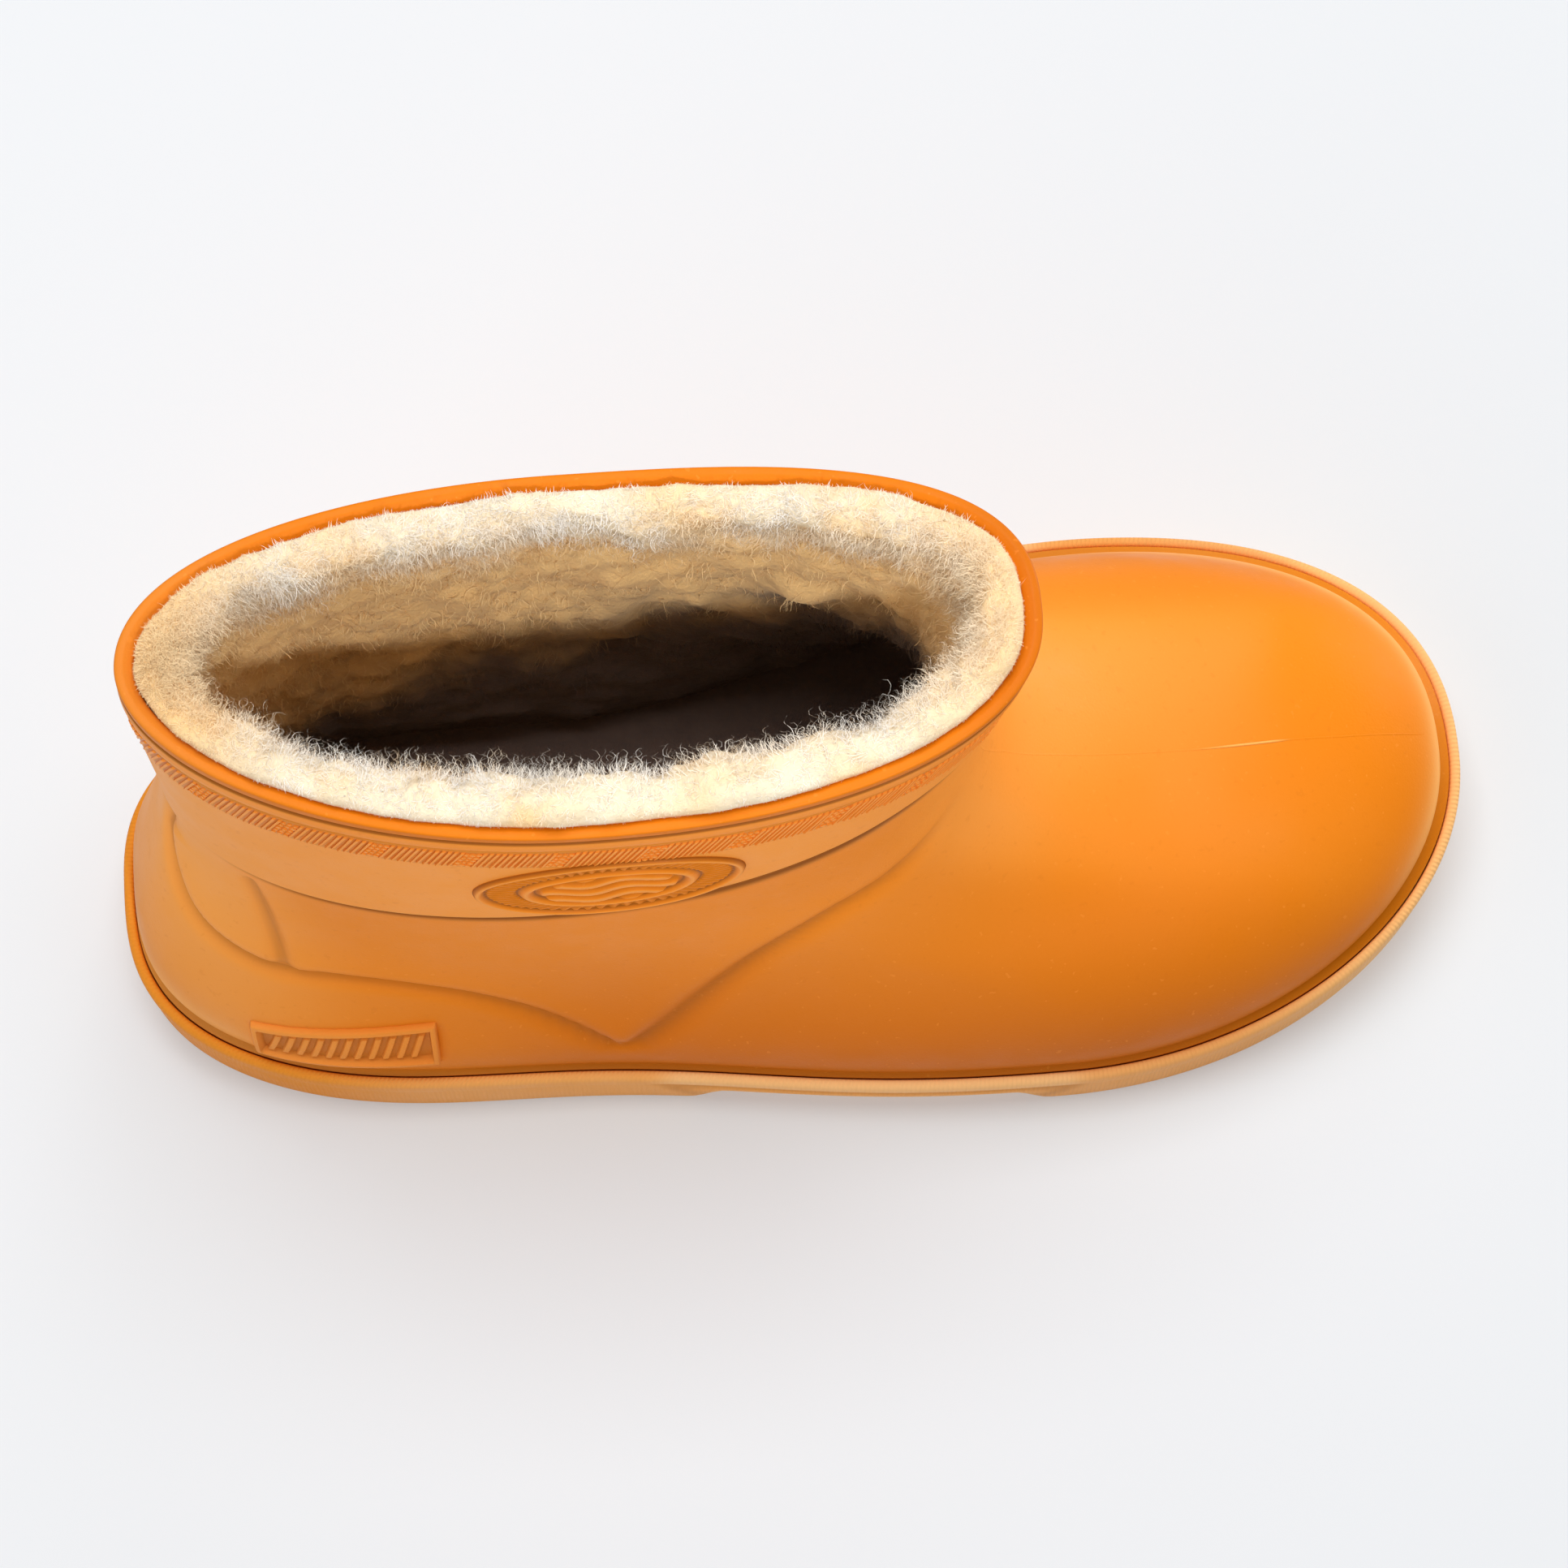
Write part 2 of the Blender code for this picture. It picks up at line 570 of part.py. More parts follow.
def build_plate(look, collection):
    """Bare plate with a raised frame, laid on the heel's outer side."""
    frame_share = PLATE_FRAME / (PLATE_X[1] - PLATE_X[0])
    inner = np.linspace(frame_share, 1.0 - frame_share, PLATE_COLUMNS_COUNT)
    slope = 0.3 * frame_share
    along = np.concatenate(((0.0,), inner[:1], inner[:1] + slope, inner[1:-1],
                            inner[-1:] - slope, inner[-1:], (1.0,)))
    edge = PLATE_HEIGHT / 2.0
    across = np.array((-edge, -edge + PLATE_FRAME, -edge + 1.3 * PLATE_FRAME, 0.0,
                       edge - 1.3 * PLATE_FRAME, edge - PLATE_FRAME, edge))
    share, height = np.meshgrid(along, across, indexing="ij")
    x = PLATE_X[0] + (PLATE_X[1] - PLATE_X[0]) * share
    z = PLATE_Z[0] + (PLATE_Z[1] - PLATE_Z[0]) * share + height
    place = side_place(x, z)
    raise_ = np.full_like(x, PLATE_RAISE)
    raise_[2:-2, 2:-2] = PLATE_FIELD
    builder = bmesh.new()
    borders = []
    for distance in (GAP + raise_, GAP):
        points = placed(wall(*place, distance))
        grid = [[builder.verts.new(point) for point in line] for line in points]
        for low, high in zip(grid, grid[1:]):
            for index in range(len(low) - 1):
                builder.faces.new((low[index], low[index + 1], high[index + 1], high[index]))
        sides = [line[0] for line in grid] + grid[-1][1:]
        borders.append(sides + [line[-1] for line in grid[-2::-1]] + grid[0][-2:0:-1])
    bridge(builder, *borders)
    finish_mesh("heel_plate", builder, look, collection)


def main():
    """Clear the scene and build every piece of the boot."""
    for old in list(bpy.data.objects):
        bpy.data.objects.remove(old, do_unlink=True)
    boot = bpy.data.collections.new("rubber_boot")
    cutters = bpy.data.collections.new("cutters")
    bpy.context.scene.collection.children.link(boot)
    bpy.context.scene.collection.children.link(cutters)
    rubber = material("orange_rubber", RUBBER, 0.55)
    build_outsole(material("pale_rubber", PALE_RUBBER, 0.6), boot, cutters)
    build_upper(rubber, boot)
    build_lining(material("cream_fleece", CREAM_FLEECE, 0.95), boot)
    build_insole(material("brown_felt", BROWN_FELT, 0.95), boot)
    build_medallion(material("medallion_rubber", RUBBER, 0.5), boot)
    build_plate(material("plate_rubber", RUBBER, 0.5), boot)


main()
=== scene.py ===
"""Dressing of the fleece-lined rubber boot for the render.

Sizes are in millimetres on the shoe: x along the sole from HEEL_X to TOE_X, y to
the inner side of the foot, z from the floor. placed() turns them into metres in the
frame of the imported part. The sole's outline and the rings of the last are the part's.
"""
import json
import math

import bpy
import numpy as np
from mathutils import Matrix, Vector, noise

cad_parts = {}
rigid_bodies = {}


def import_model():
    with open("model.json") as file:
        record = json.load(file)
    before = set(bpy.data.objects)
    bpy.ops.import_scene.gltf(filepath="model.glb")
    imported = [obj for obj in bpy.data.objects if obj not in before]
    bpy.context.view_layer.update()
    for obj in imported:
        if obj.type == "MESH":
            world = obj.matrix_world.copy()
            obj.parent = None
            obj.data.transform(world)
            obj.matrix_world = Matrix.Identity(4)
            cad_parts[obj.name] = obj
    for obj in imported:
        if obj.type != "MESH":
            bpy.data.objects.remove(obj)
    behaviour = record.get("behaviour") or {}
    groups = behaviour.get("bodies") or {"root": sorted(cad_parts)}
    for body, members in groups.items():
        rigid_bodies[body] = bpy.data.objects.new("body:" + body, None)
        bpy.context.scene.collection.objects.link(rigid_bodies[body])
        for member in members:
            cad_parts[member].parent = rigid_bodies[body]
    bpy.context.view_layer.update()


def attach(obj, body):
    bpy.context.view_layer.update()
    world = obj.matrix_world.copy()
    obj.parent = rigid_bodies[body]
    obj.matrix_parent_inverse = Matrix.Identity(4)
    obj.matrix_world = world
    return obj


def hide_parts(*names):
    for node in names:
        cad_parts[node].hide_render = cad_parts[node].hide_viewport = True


MM = 0.001
GAP = 0.3
SEED = 4711
TINY = 1e-9
CLOUD_OCTAVES = 2
PLAN_STEPS = 3601
TURN_STEPS = 4001
TURN_WEIGHT = 60.0
SIDE_HALVINGS = 40
DROP_LEVELS = 3.0
DROP_STEPS = 301
NORMAL_STEP = 0.001

# Sole outline
HEEL_X = 1.3
TOE_X = 282.0
BALL_X = 195.0
BALL_LATERAL = 60.3
BALL_MEDIAL = 57.9
HEEL_BLUNT_LATERAL = 2.9
HEEL_BLUNT_MEDIAL = 2.6
TOE_BLUNT_LATERAL = 2.02
TOE_BLUNT_MEDIAL = 2.33
WAIST_X = 100.0
WAIST_SPREAD = 52.0
WAIST_PINCH = 7.3
MEDIAL_PINCH_SHARE = 1.75
HEEL_AXIS_Y = -3.8
TOE_AXIS_Y = 4.0
AXIS_POWER = 1.3

# Sole height
RIM_AT_BALL = 18.0
RIM_HEEL_RISE = 2.0
RIM_HEEL_FADE = (60.0, 150.0)
RIM_TOE_RISE = 7.4
RIM_TOE_START = 215.0
RIM_TOE_POWER = 1.6
LIP_HEIGHT = 5.0
LEDGE_BELOW_RIM = 4.0
LIP_INNER_INSET = 2.5
HEEL_ROLL = 3.0
HEEL_ROLL_LENGTH = 14.0
ARCH_RISE = 8.0
ARCH_BACK = (116.0, 124.0)
ARCH_FRONT = (184.0, 192.0)
TOE_SPRING = 11.0
TOE_SPRING_START = 228.0
TOE_SPRING_POWER = 1.8

# Loops round the sole: inset, added inset under the arch, share of the way from
# tread to lip, rise above that
SOLE_COLUMNS = ("inset", "arch_inset", "share", "rise")
SOLE_ROWS = (
    (2.4, 1.2, 0.0, 0.0),
    (0.8, 0.4, 0.0, 0.25),
    (0.2, -0.1, 0.0, 1.6),
    (0.15, 0.0, 0.6, 0.0),
    (0.3, 1.2, 1.0, -0.5),
    (0.0, 0.0, 1.0, 0.6),
    (0.0, 0.0, 1.0, 4.0),
    (0.7, 0.0, 1.0, 5.0),
    (2.2, 0.0, 1.0, 5.0),
    (2.5, 0.0, 1.0, 1.0),
)
ARCH_SCOOP = 9.0
# Painted shade in the arch's recess and scoops, painted highlight on its ridges
ARCH_SHADE = 0.75
ARCH_PALE = 0.55
SCOOP_SHADE = 0.55
SOLE_RING_COUNT = 56
SOLE_HALF_COLUMNS = 250
SOLE_ROUNDING = 3
SOLE_SIDE = 12.0
SOLE_SIDE_RING = 20
SOLE_SHARP = 40.0
SOLE_ANGLE_GAP = 0.0016
# Shares and rises where the arch's painted shade and painted highlights lie
SUNK_SHARE = (0.55, 0.90)
SUNK_RISE = (0.2, 1.6)
LOWER_EDGE_RISE = (0.5, 1.2)
LOWER_EDGE_SHARE = (0.1, 0.4)
LIP_EDGE_RISE = (1.0, 2.4)
LIP_EDGE_SHARE = (0.9, 1.0)

# Tread pockets: first x, spacing and count of each row
GROOVE_WIDTH = 4.5
GROOVE_DEPTH = 3.5
GROOVE_EDGE = 11.0
GROOVE_WALL = 0.25
GROOVE_ROWS = ((28.0, 16.0, 6), (199.0, 12.0, 5))
GROOVE_MIDDLES = [
    first_x + spacing * index for first_x, spacing, count in GROOVE_ROWS for index in range(count)
]
TREAD_INSETS = (0.0, 2.5, 5.0, 8.0, GROOVE_EDGE - GROOVE_WALL, GROOVE_EDGE + GROOVE_WALL)
TREAD_MIDDLE_COLUMNS = 12
TREAD_EDGE_LIMIT = 0.45

# Rings of the last, from the feather edge to the collar
SECTION_COLUMNS = (
    "back_x", "back_z", "front_x", "front_z", "wide_x", "lateral", "medial",
    "heel_n", "medial_heel_n", "lateral_n", "medial_n", "pinch", "follow", "shaft",
)
SECTION_ROWS = (
    (5.8, 18.5, 276.2, 23.5, 195.0, 56.4, 52.0, 2.90, 2.60, 2.00, 2.33, 7.3, 1.0, 0.00),
    (5.0, 25.0, 276.8, 28.5, 195.0, 57.0, 51.9, 2.90, 2.60, 2.00, 2.33, 7.1, 0.7, 0.00),
    (5.3, 32.0, 273.0, 35.2, 193.0, 54.9, 49.2, 2.90, 2.60, 2.00, 2.32, 6.4, 0.4, 0.00),
    (6.5, 39.3, 262.0, 42.4, 186.0, 50.3, 46.5, 2.85, 2.55, 2.04, 2.30, 5.6, 0.2, 0.05),
    (8.6, 47.1, 245.5, 48.0, 174.0, 45.7, 43.8, 2.75, 2.50, 2.12, 2.28, 4.2, 0.1, 0.15),
    (11.4, 55.4, 226.5, 52.7, 158.0, 42.1, 41.6, 2.65, 2.48, 2.20, 2.32, 2.8, 0.0, 0.30),
    (14.3, 64.9, 208.0, 59.2, 138.0, 39.2, 39.3, 2.50, 2.44, 2.30, 2.36, 1.4, 0.0, 0.55),
    (17.2, 75.8, 192.7, 68.8, 118.0, 37.4, 37.8, 2.35, 2.40, 2.40, 2.48, 0.5, 0.0, 0.80),
    (19.2, 87.5, 183.3, 80.9, 107.2, 36.4, 37.0, 2.32, 2.24, 2.40, 2.48, 0.0, 0.0, 1.00),
    (20.0, 100.5, 179.2, 95.6, 103.8, 35.5, 36.5, 2.26, 2.14, 2.40, 2.50, 0.0, 0.0, 1.00),
    (20.0, 116.1, 179.7, 113.7, 102.4, 34.5, 36.0, 2.18, 2.07, 2.38, 2.50, 0.0, 0.0, 1.00),
    (19.9, 132.6, 182.5, 132.6, 101.6, 33.5, 35.4, 2.08, 2.03, 2.36, 2.50, 0.0, 0.0, 1.00),
    (20.0, 150.0, 186.1, 150.0, 100.9, 32.5, 35.0, 1.94, 2.00, 2.35, 2.50, 0.0, 0.0, 1.00),
)
COLLAR_LEVEL = len(SECTION_ROWS) - 1
COLLAR_DIP = 8.0
COLLAR_DIP_POWER = 6
SHAFT_AXIS_Y = 1.0
SHAFT_AXIS_X = 105.0
SHAFT_AXIS_BEND = 0.00025
WALL = 2.5
FLANGE_SHOWN = 3.85
LIP_GAP = 0.06
FOOT_START = 0.25

# Lower edge of the raised shaft panel: angle round the boot, ring level
PANEL_COLUMNS = ("angle", "level")
PANEL_ROWS = (
    (0.0, 10.70), (34.0, 10.40), (44.0, 10.05), (58.0, 9.70), (72.0, 9.36),
    (91.0, 8.88), (107.0, 8.62), (125.0, 8.45), (150.0, 8.37), (180.0, 8.42),
)
PANEL_RAISE = 0.9
PANEL_SMOOTH = 9.0
PANEL_SHIFTS = (-1.0, -0.5, 0.0, 0.5, 1.0)
PANEL_STEP = (0.12, 0.17)
PANEL_GROOVE = 1.0
PANEL_GROOVE_LEVEL = -0.06
PANEL_GROOVE_WIDTH = 0.11
# Line of painted shade under the edge: level and width
PANEL_LINE_LEVEL = -0.16
PANEL_LINE_WIDTH = 0.075
PANEL_GROOVE_FADE = (128.0, 158.0)
PANEL_STEP_LEVELS = (
    -0.32, -0.28, -0.24, -0.21, -0.18, -0.16, -0.14, -0.12, -0.10, -0.08, -0.06, -0.04, -0.02, 0.0,
    0.03, 0.07, 0.12, 0.135, 0.155, 0.17, 0.20, 0.25,
)

# Collar profile from the panel over the beads and the flat rim to the inside:
# distance below the collar, height over the plain wall
COLLAR_ROWS = (
    (9.6, 0.9), (9.3, 0.55), (8.9, 0.55), (8.6, 1.0), (7.8, 1.25), (6.2, 1.35), (4.8, 1.25), (4.0, 1.1),
    (3.8, 0.85), (3.7, 0.1), (3.3, 0.1), (3.15, 0.75), (2.8, 1.0), (1.2, 1.05), (0.45, 1.0), (0.1, 0.7),
    (0.0, 0.3), (0.0, -0.6), (0.5, -1.5), (1.1, -2.2), (1.8, -2.5),
)
BAND_DROPS = (20.0, 19.6, 17.4, 15.0, 12.6, 10.3)
# Painted shade between the bars of the hatched band
BAND_SHADE = 0.30
COLLAR_STEP = 0.2
COLLAR_ROUNDING = 1
UPPER_COLUMNS = 400
FOOT_RINGS = 90
PANEL_RINGS = 26
INNER_LEVELS = (11.6, 10.8, 9.6, 8.5, 7.5, 6.6, 5.7, 4.8, 3.9, 3.0, 2.1, 1.2, 0.4)

# Soft creases moulded in the upper, as x and z on its outer side
HEEL_CREASE = (
    (22.3, 93.0), (18.6, 78.0), (17.5, 68.2), (18.6, 58.9), (22.9, 55.3), (29.8, 52.7), (36.8, 51.4),
    (44.6, 52.6), (58.3, 52.4), (71.5, 49.8), (84.6, 44.1), (94.4, 37.7), (104.2, 30.2),
)
BRANCH_CREASE = ((34.3, 87.4), (36.2, 71.9), (37.9, 53.0))
INSTEP_CREASE = (
    (104.2, 30.2), (114.1, 39.5), (126.0, 53.1), (136.9, 66.0), (147.8, 74.6), (158.8, 79.5),
    (167.0, 85.7), (171.2, 91.0), (171.6, 102.5),
)
CREASES = (
    {"line": HEEL_CREASE, "depth": 1.9, "width": 2.1, "start": 0.12, "end": 0.03},
    {"line": BRANCH_CREASE, "depth": 1.0, "width": 1.8, "start": 0.12, "end": 0.02},
    {"line": INSTEP_CREASE, "depth": 1.8, "width": 2.6, "start": 0.03, "end": 0.3},
)
CREASE_POINTS = 140
CREASE_ROUNDING = 30
# Painted shade in the troughs
CREASE_SHADE = 0.42
CREASE_SWELL = 0.45
CREASE_SWELL_REACH = 3.2

# Painted shade, painted highlights, painted sheen and tints of the upper: shares, and the turns, levels and
# drops where they lie
# Painted shade in the channel over the sole: at the flange and low on the wall
CHANNEL_SHADE = (0.42, 0.16)
CHANNEL_TOE = 0.18
CHANNEL_FAR = 0.3
NEAR_TURN = (0.1, 0.7)
# Raised edge round the toe and the inner side, with a painted highlight
TOE_EDGE_LEVEL = 1.15
TOE_EDGE_WIDTH = 0.60
TOE_EDGE_RAISE = 0.25
TOE_EDGE_TURN = (-0.3, 0.4)
CHANNEL_LEVELS = (0.25, 0.75)
# Painted shade in the collar's grooves and along its lines
COLLAR_SHADE = 0.9
COLLAR_DEEP = 0.85
# Paler beads on the outer side, where the painted sheen is let through
COLLAR_NEAR_PALE = 0.5
# Deeper orange on the side walls under the panel: painted shade
SIDE_DEEP = 0.65
SIDE_TURN = (0.35, 0.80)
COLLAR_SHADE_RAISE = (0.4, 0.9)
COLLAR_RIM_DROP = 3.1
COLLAR_LINES = (3.9, 9.1)
COLLAR_LINE_WIDTH = 0.42
COLLAR_LINE_SHADE = 0.85

# Parting line down the vamp: angle in degrees and ring level
PARTING_ROWS = (
    (-13.0, 9.25), (-7.5, 8.0), (-4.7, 6.9), (-2.2, 5.1), (-0.5, 4.1), (0.8, 2.4), (1.7, 1.1), (1.9, 0.2),
)
PARTING_POINTS = 220
PARTING_ROUNDING = 12
PARTING_WIDTH = 0.26
PARTING_HEIGHT = 0.035
NICK_START = (222.0, 234.0)
NICK_END = (239.0, 244.0)
NICK_HEIGHT = 0.25
NICK_SWELL = 0.2

# Section of the parting line: place across in widths, rise in heights, depth in the wall
PARTING_PROFILE = (
    (-1.0, 0.0, 0.03), (-0.4, 0.8, 0.0), (0.0, 1.0, 0.0),
    (0.4, 0.8, 0.0), (1.0, 0.0, 0.03), (0.0, -0.3, 0.03),
)

# Hatched band under the beads
HATCH_DROP = (9.9, 19.3)
HATCH_PITCH = 1.15
HATCH_BAR = 0.42
HATCH_LEAN = 3.8
HATCH_HEIGHT = 0.42
HATCH_PERIOD = 17.0
HATCH_BARS = 12
HATCH_BASE = 0.9
HATCH_SUNK = 0.2
HATCH_MIDDLE = 14.5
HATCH_TAPER = (0.80, 0.94)
HATCH_SKEW = (0.9, 0.3)
HATCH_TOP_SPREAD = (0.0, 0.3)
HATCH_LOW_SPREAD = (-0.5, 0.2)
HATCH_RISE_SPREAD = (0.8, 1.1)
HATCH_STEPS = 2000
HATCH_SHARP = 35.0
HATCH_DEEP = 0.20
# Painted highlight on the bars
HATCH_PALE = 0.05
LOZENGE_DROPS = (11.3, 13.0, 14.7, 16.4, 18.1)
LOZENGE_SIZE = (0.45, 0.70)
LOZENGE_LEAN = 0.4
LOZENGE_RISE = (0.6, 1.2)

# Faces of a block with corners 0 to 3 at its foot and 4 to 7 on its top
BLOCK_FACES = ((4, 5, 6, 7), (3, 2, 1, 0), (0, 1, 5, 4), (1, 2, 6, 5), (2, 3, 7, 6), (3, 0, 4, 7))

# Fleece lining
FLEECE = 7.0
FLEECE_SPLAY = 0.8
FLEECE_SPLAY_LEVEL = 10.3
FLEECE_COLUMNS = 384
FLEECE_CREST_RINGS = 18
FLEECE_WALL_RINGS = 104
FLEECE_TOP_DROP = 1.4
FLEECE_RIM_EDGE = (-2.8, -1.3)
FLEECE_RIM_GAP = 0.3
FLEECE_CREST = 3.6
FLEECE_CREST_POWER = 0.8
FLEECE_BACK_DROP = 9.0
FLEECE_NEAR_TURN = (-0.1, 0.9)
FLEECE_LOW_LEVEL = 0.4
FLEECE_BACK_RINGS = 2
FLEECE_EASE_RINGS = (6, 12)
FLEECE_EASE_START = 0.1

# Lumps of the pile: size, height, shift of the noise
FLEECE_LUMPS = ((15.0, 2.2, 0.0), (6.0, 1.3, 7.3), (2.4, 0.5, 3.1))

# Fibres, a row for each layer: rings of the pile that it grows on, lengths, share of the
# length that stands up, radius and turns of the curl, fibres in a lock
STRAND_COLUMNS = (
    "name", "rings", "count", "length", "upright", "curl",
    "turns", "width", "points", "sunk", "lock", "gather",
)
STRAND_ROWS = (
    ("fleece_curls_crest", (5, 26), 22000, (2.2, 4.6), 0.36, 0.50, (0.4, 1.2), 0.115, 6, 0.25, 22, 0.45),
    ("fleece_curls_wall", (22, 88), 15000, (2.6, 5.2), 0.34, 0.60, (0.5, 1.4), 0.140, 7, 0.25, 22, 0.45),
    ("fleece_curls_edge", (11, 27), 5200, (3.0, 6.5), 0.75, 1.00, (1.0, 2.6), 0.090, 12, 0.30, 14, 0.30),
    ("fleece_curls_rim", (2, 5), 9000, (1.2, 3.0), 0.50, 0.25, (0.4, 1.0), 0.090, 5, 0.15, 9, 0.25),
)
STRAND_RIM_SHARE = 0.25
STRAND_RIM_RINGS = (3.0, 13.0)
STRAND_UPRIGHT_SPREAD = (0.6, 1.3)
STRAND_CURL_SPREAD = (0.5, 1.3)
STRAND_WIDTH_SPREAD = (0.7, 1.3)
STRAND_LEAST_LYING = 0.05
STRAND_LYING_POWER = 1.2
STRAND_SWING_POWER = 0.7
STRAND_GATHER_POWER = 1.5
STRAND_TAPER = 0.7
STRAND_TAPER_POWER = 1.5
LOCK_REACH = 0.5
LOCK_SCATTER = 0.5

# Insole: inset and distance below its top of each ring, from the underside up
INSOLE = 5.0
INSOLE_UNDER_PILE = 2.0
INSOLE_ROWS = ((0.0, 5.0), (0.0, 1.4), (0.25, 0.6), (1.0, 0.0), (6.0, 0.0))
INSOLE_HALF_COLUMNS = 120
INSOLE_SHARP = 50.0

# Oval medallion on the outer side of the shaft
MEDALLION_X = 104.8
MEDALLION_Z = 112.8
MEDALLION_LENGTH = 51.5
MEDALLION_HEIGHT = 27.5
MEDALLION_TILT = math.radians(8.0)
MEDALLION_SECTORS = 240
MEDALLION_RINGS = 70
MEDALLION_HUB = 0.02
MEDALLION_SUNK = 0.2

# Profile of the medallion: share of the way from middle to edge, height
MEDALLION_ROWS = (
    (0.0, -0.3), (0.55, -0.3), (0.58, 0.5), (0.61, 0.8), (0.64, 0.5), (0.67, -0.3), (0.915, -0.3),
    (0.935, 0.5), (0.965, 0.85), (0.99, 0.5), (1.0, -0.1),
)
MEDALLION_RIBS = 58
MEDALLION_RIB_HEIGHT = 0.5
MEDALLION_RIB_BAND = (0.70, 0.89)
MEDALLION_RIB_EASE = 0.02
MEDALLION_RIB_STEEP = 0.9
MEDALLION_RIB_LEAN = 9.0
MEDALLION_WAVE_HEIGHT = 1.0
MEDALLION_WAVE_FIELD = (0.48, 0.53)
MEDALLION_WAVE_PITCH = 0.15 * MEDALLION_HEIGHT
MEDALLION_WAVE_STEEP = 0.8
MEDALLION_WAVE_SWING = 1.3
MEDALLION_WAVE_TURN = 0.42
# Painted shade in the recesses and at the feet of the rings, painted highlight on the crests
MEDALLION_SHADE_RAISE = (-0.2, 0.5)
MEDALLION_PALE_RAISE = (0.45, 0.8)
MEDALLION_SHADE = 0.42
MEDALLION_FEET = (0.545, 0.675, 0.91, 1.0)
MEDALLION_FOOT_WIDTH = 0.018
MEDALLION_FOOT_SHADE = 0.9
MEDALLION_DEEP = 0.85
MEDALLION_PALE = 0.45

# Framed plate low on the outer side of the heel
PLATE_X = (28.5, 66.5)
PLATE_Z = (29.5, 35.5)
PLATE_HEIGHT = 11.8
PLATE_FRAME = 1.3
PLATE_RAISE = 1.0
PLATE_FIELD = -0.9
PLATE_RECESS = 2.2
PLATE_RECESS_EDGE = 1.8
PLATE_GRID = (150, 50)
PLATE_EDGE = 0.35
PLATE_FRAME_EASE = 0.4
PLATE_SUNK = 0.3
PLATE_UNDER_SHARE = 1.3
PLATE_RIBS = 11
PLATE_RIB_HEIGHT = 1.0
PLATE_RIB_MARGIN = 1.5
PLATE_RIB_LEAN = 0.35
PLATE_RIB_SIDE = (0.20, 0.30)
PLATE_RIB_END = (3.0, 3.5)
# Painted shade in the plate's sunk field
PLATE_SHADE = 0.40
PLATE_SHADE_RISE = 0.9
PLATE_SHARP = 60.0

# Camera, on the shoe
CAMERA_TARGET = (140.1, 2.7, 40.0)
CAMERA_DISTANCE = 884.4
CAMERA_ELEVATION = 74.8
CAMERA_AZIMUTH = -4.0
CAMERA_LENS = 98.94
CAMERA_SENSOR = 36.0

# Stage, in metres and watts: name, place, size and power of the square lights
FLOOR_HALF = 4.0
FLOOR_DROP = 0.0002
LIGHT_TARGET = (0.0, 0.0, 0.05)
LIGHT_ROWS = (
    ("key", (0.0, 0.55, 2.1), 1.4, 36.0),
    ("fill", (-1.5, -1.2, 1.3), 1.3, 5.0),
    ("toe_light", (1.7, 0.30, 1.35), 1.2, 2.0),
    ("back", (0.6, 2.6, 1.4), 1.0, 6.0),
    ("heel_light", (-1.9, -0.2, 1.2), 1.0, 4.0),
)
RIM_LIGHT = ("rim_light", (1.15, 0.75, 0.24), 0.4, 6.0)
SHAFT_LIGHT_PLACE = (0.28, -1.15, 1.64)
SHAFT_LIGHT_TARGET = (-0.012, -0.012, 0.122)
SHAFT_LIGHT_POWER = 88.0
SHAFT_LIGHT_CONE = 11.0
SHAFT_LIGHT_SIZE = 0.10
WORLD_STRENGTH = 0.18


def smoothstep(low, high, value):
    """Ease from 0 at low to 1 at high."""
    share = np.clip((value - low) / (high - low), 0.0, 1.0)
    return share * share * (3.0 - 2.0 * share)


def bell(value, middle, width):
    """Smooth hump, 1 at its middle."""
    return np.exp(-((value - middle) / width) ** 2)


def ridges(phase, steep):
    """Wave from 0 to 1 with flattened crests and troughs."""
    return np.clip(0.5 + steep * np.sin(phase), 0.0, 1.0)


def unit(vectors):
    """The same directions with length 1."""
    return vectors / np.maximum(np.linalg.norm(vectors, axis=-1, keepdims=True), TINY)


def travelled(points):
    """Running length along a line of points."""
    return np.concatenate(((0.0,), np.cumsum(np.linalg.norm(np.diff(points, axis=0), axis=1))))


def column(rows, names, name):
    """One named column of a table, as an array."""
    return np.array(rows, dtype=float)[:, names.index(name)]


def foot_axis(x):
    """Middle line of the foot, bent towards the big toe."""
    along = np.clip(x / TOE_X, 0.0, 1.0)
    return HEEL_AXIS_Y + (TOE_AXIS_Y - HEEL_AXIS_Y) * along ** AXIS_POWER


def waist(x):
    """Share of the waist pinch at x."""
    return bell(x, WAIST_X, WAIST_SPREAD)


def rim_height(x):
    """Top of the sole's lip."""
    toe = np.maximum(0.0, (x - RIM_TOE_START) / (TOE_X - RIM_TOE_START))
    heel = 1.0 - smoothstep(*RIM_HEEL_FADE, x)
    return RIM_AT_BALL + RIM_HEEL_RISE * heel + RIM_TOE_RISE * toe ** RIM_TOE_POWER


def arch(x, widen=0.0):
    """1 under the arch, 0 at heel and forefoot."""
    back = smoothstep(ARCH_BACK[0] - widen, ARCH_BACK[1] - widen, x)
    front = smoothstep(ARCH_FRONT[0] + widen, ARCH_FRONT[1] + widen, x)
    return back * (1.0 - front)


def tread_height(x):
    """Underside of the sole: rolled heel, arch and toe spring."""
    roll = np.maximum(0.0, (HEEL_ROLL_LENGTH - x) / HEEL_ROLL_LENGTH)
    toe = np.maximum(0.0, (x - TOE_SPRING_START) / (TOE_X - TOE_SPRING_START))
    return HEEL_ROLL * roll ** 2 + ARCH_RISE * arch(x) + TOE_SPRING * toe ** TOE_SPRING_POWER


def rounded_half(cosine, blunt):
    """Half width of a unit superellipse."""
    return np.maximum(0.0, 1.0 - np.abs(cosine) ** blunt) ** (1.0 / blunt)


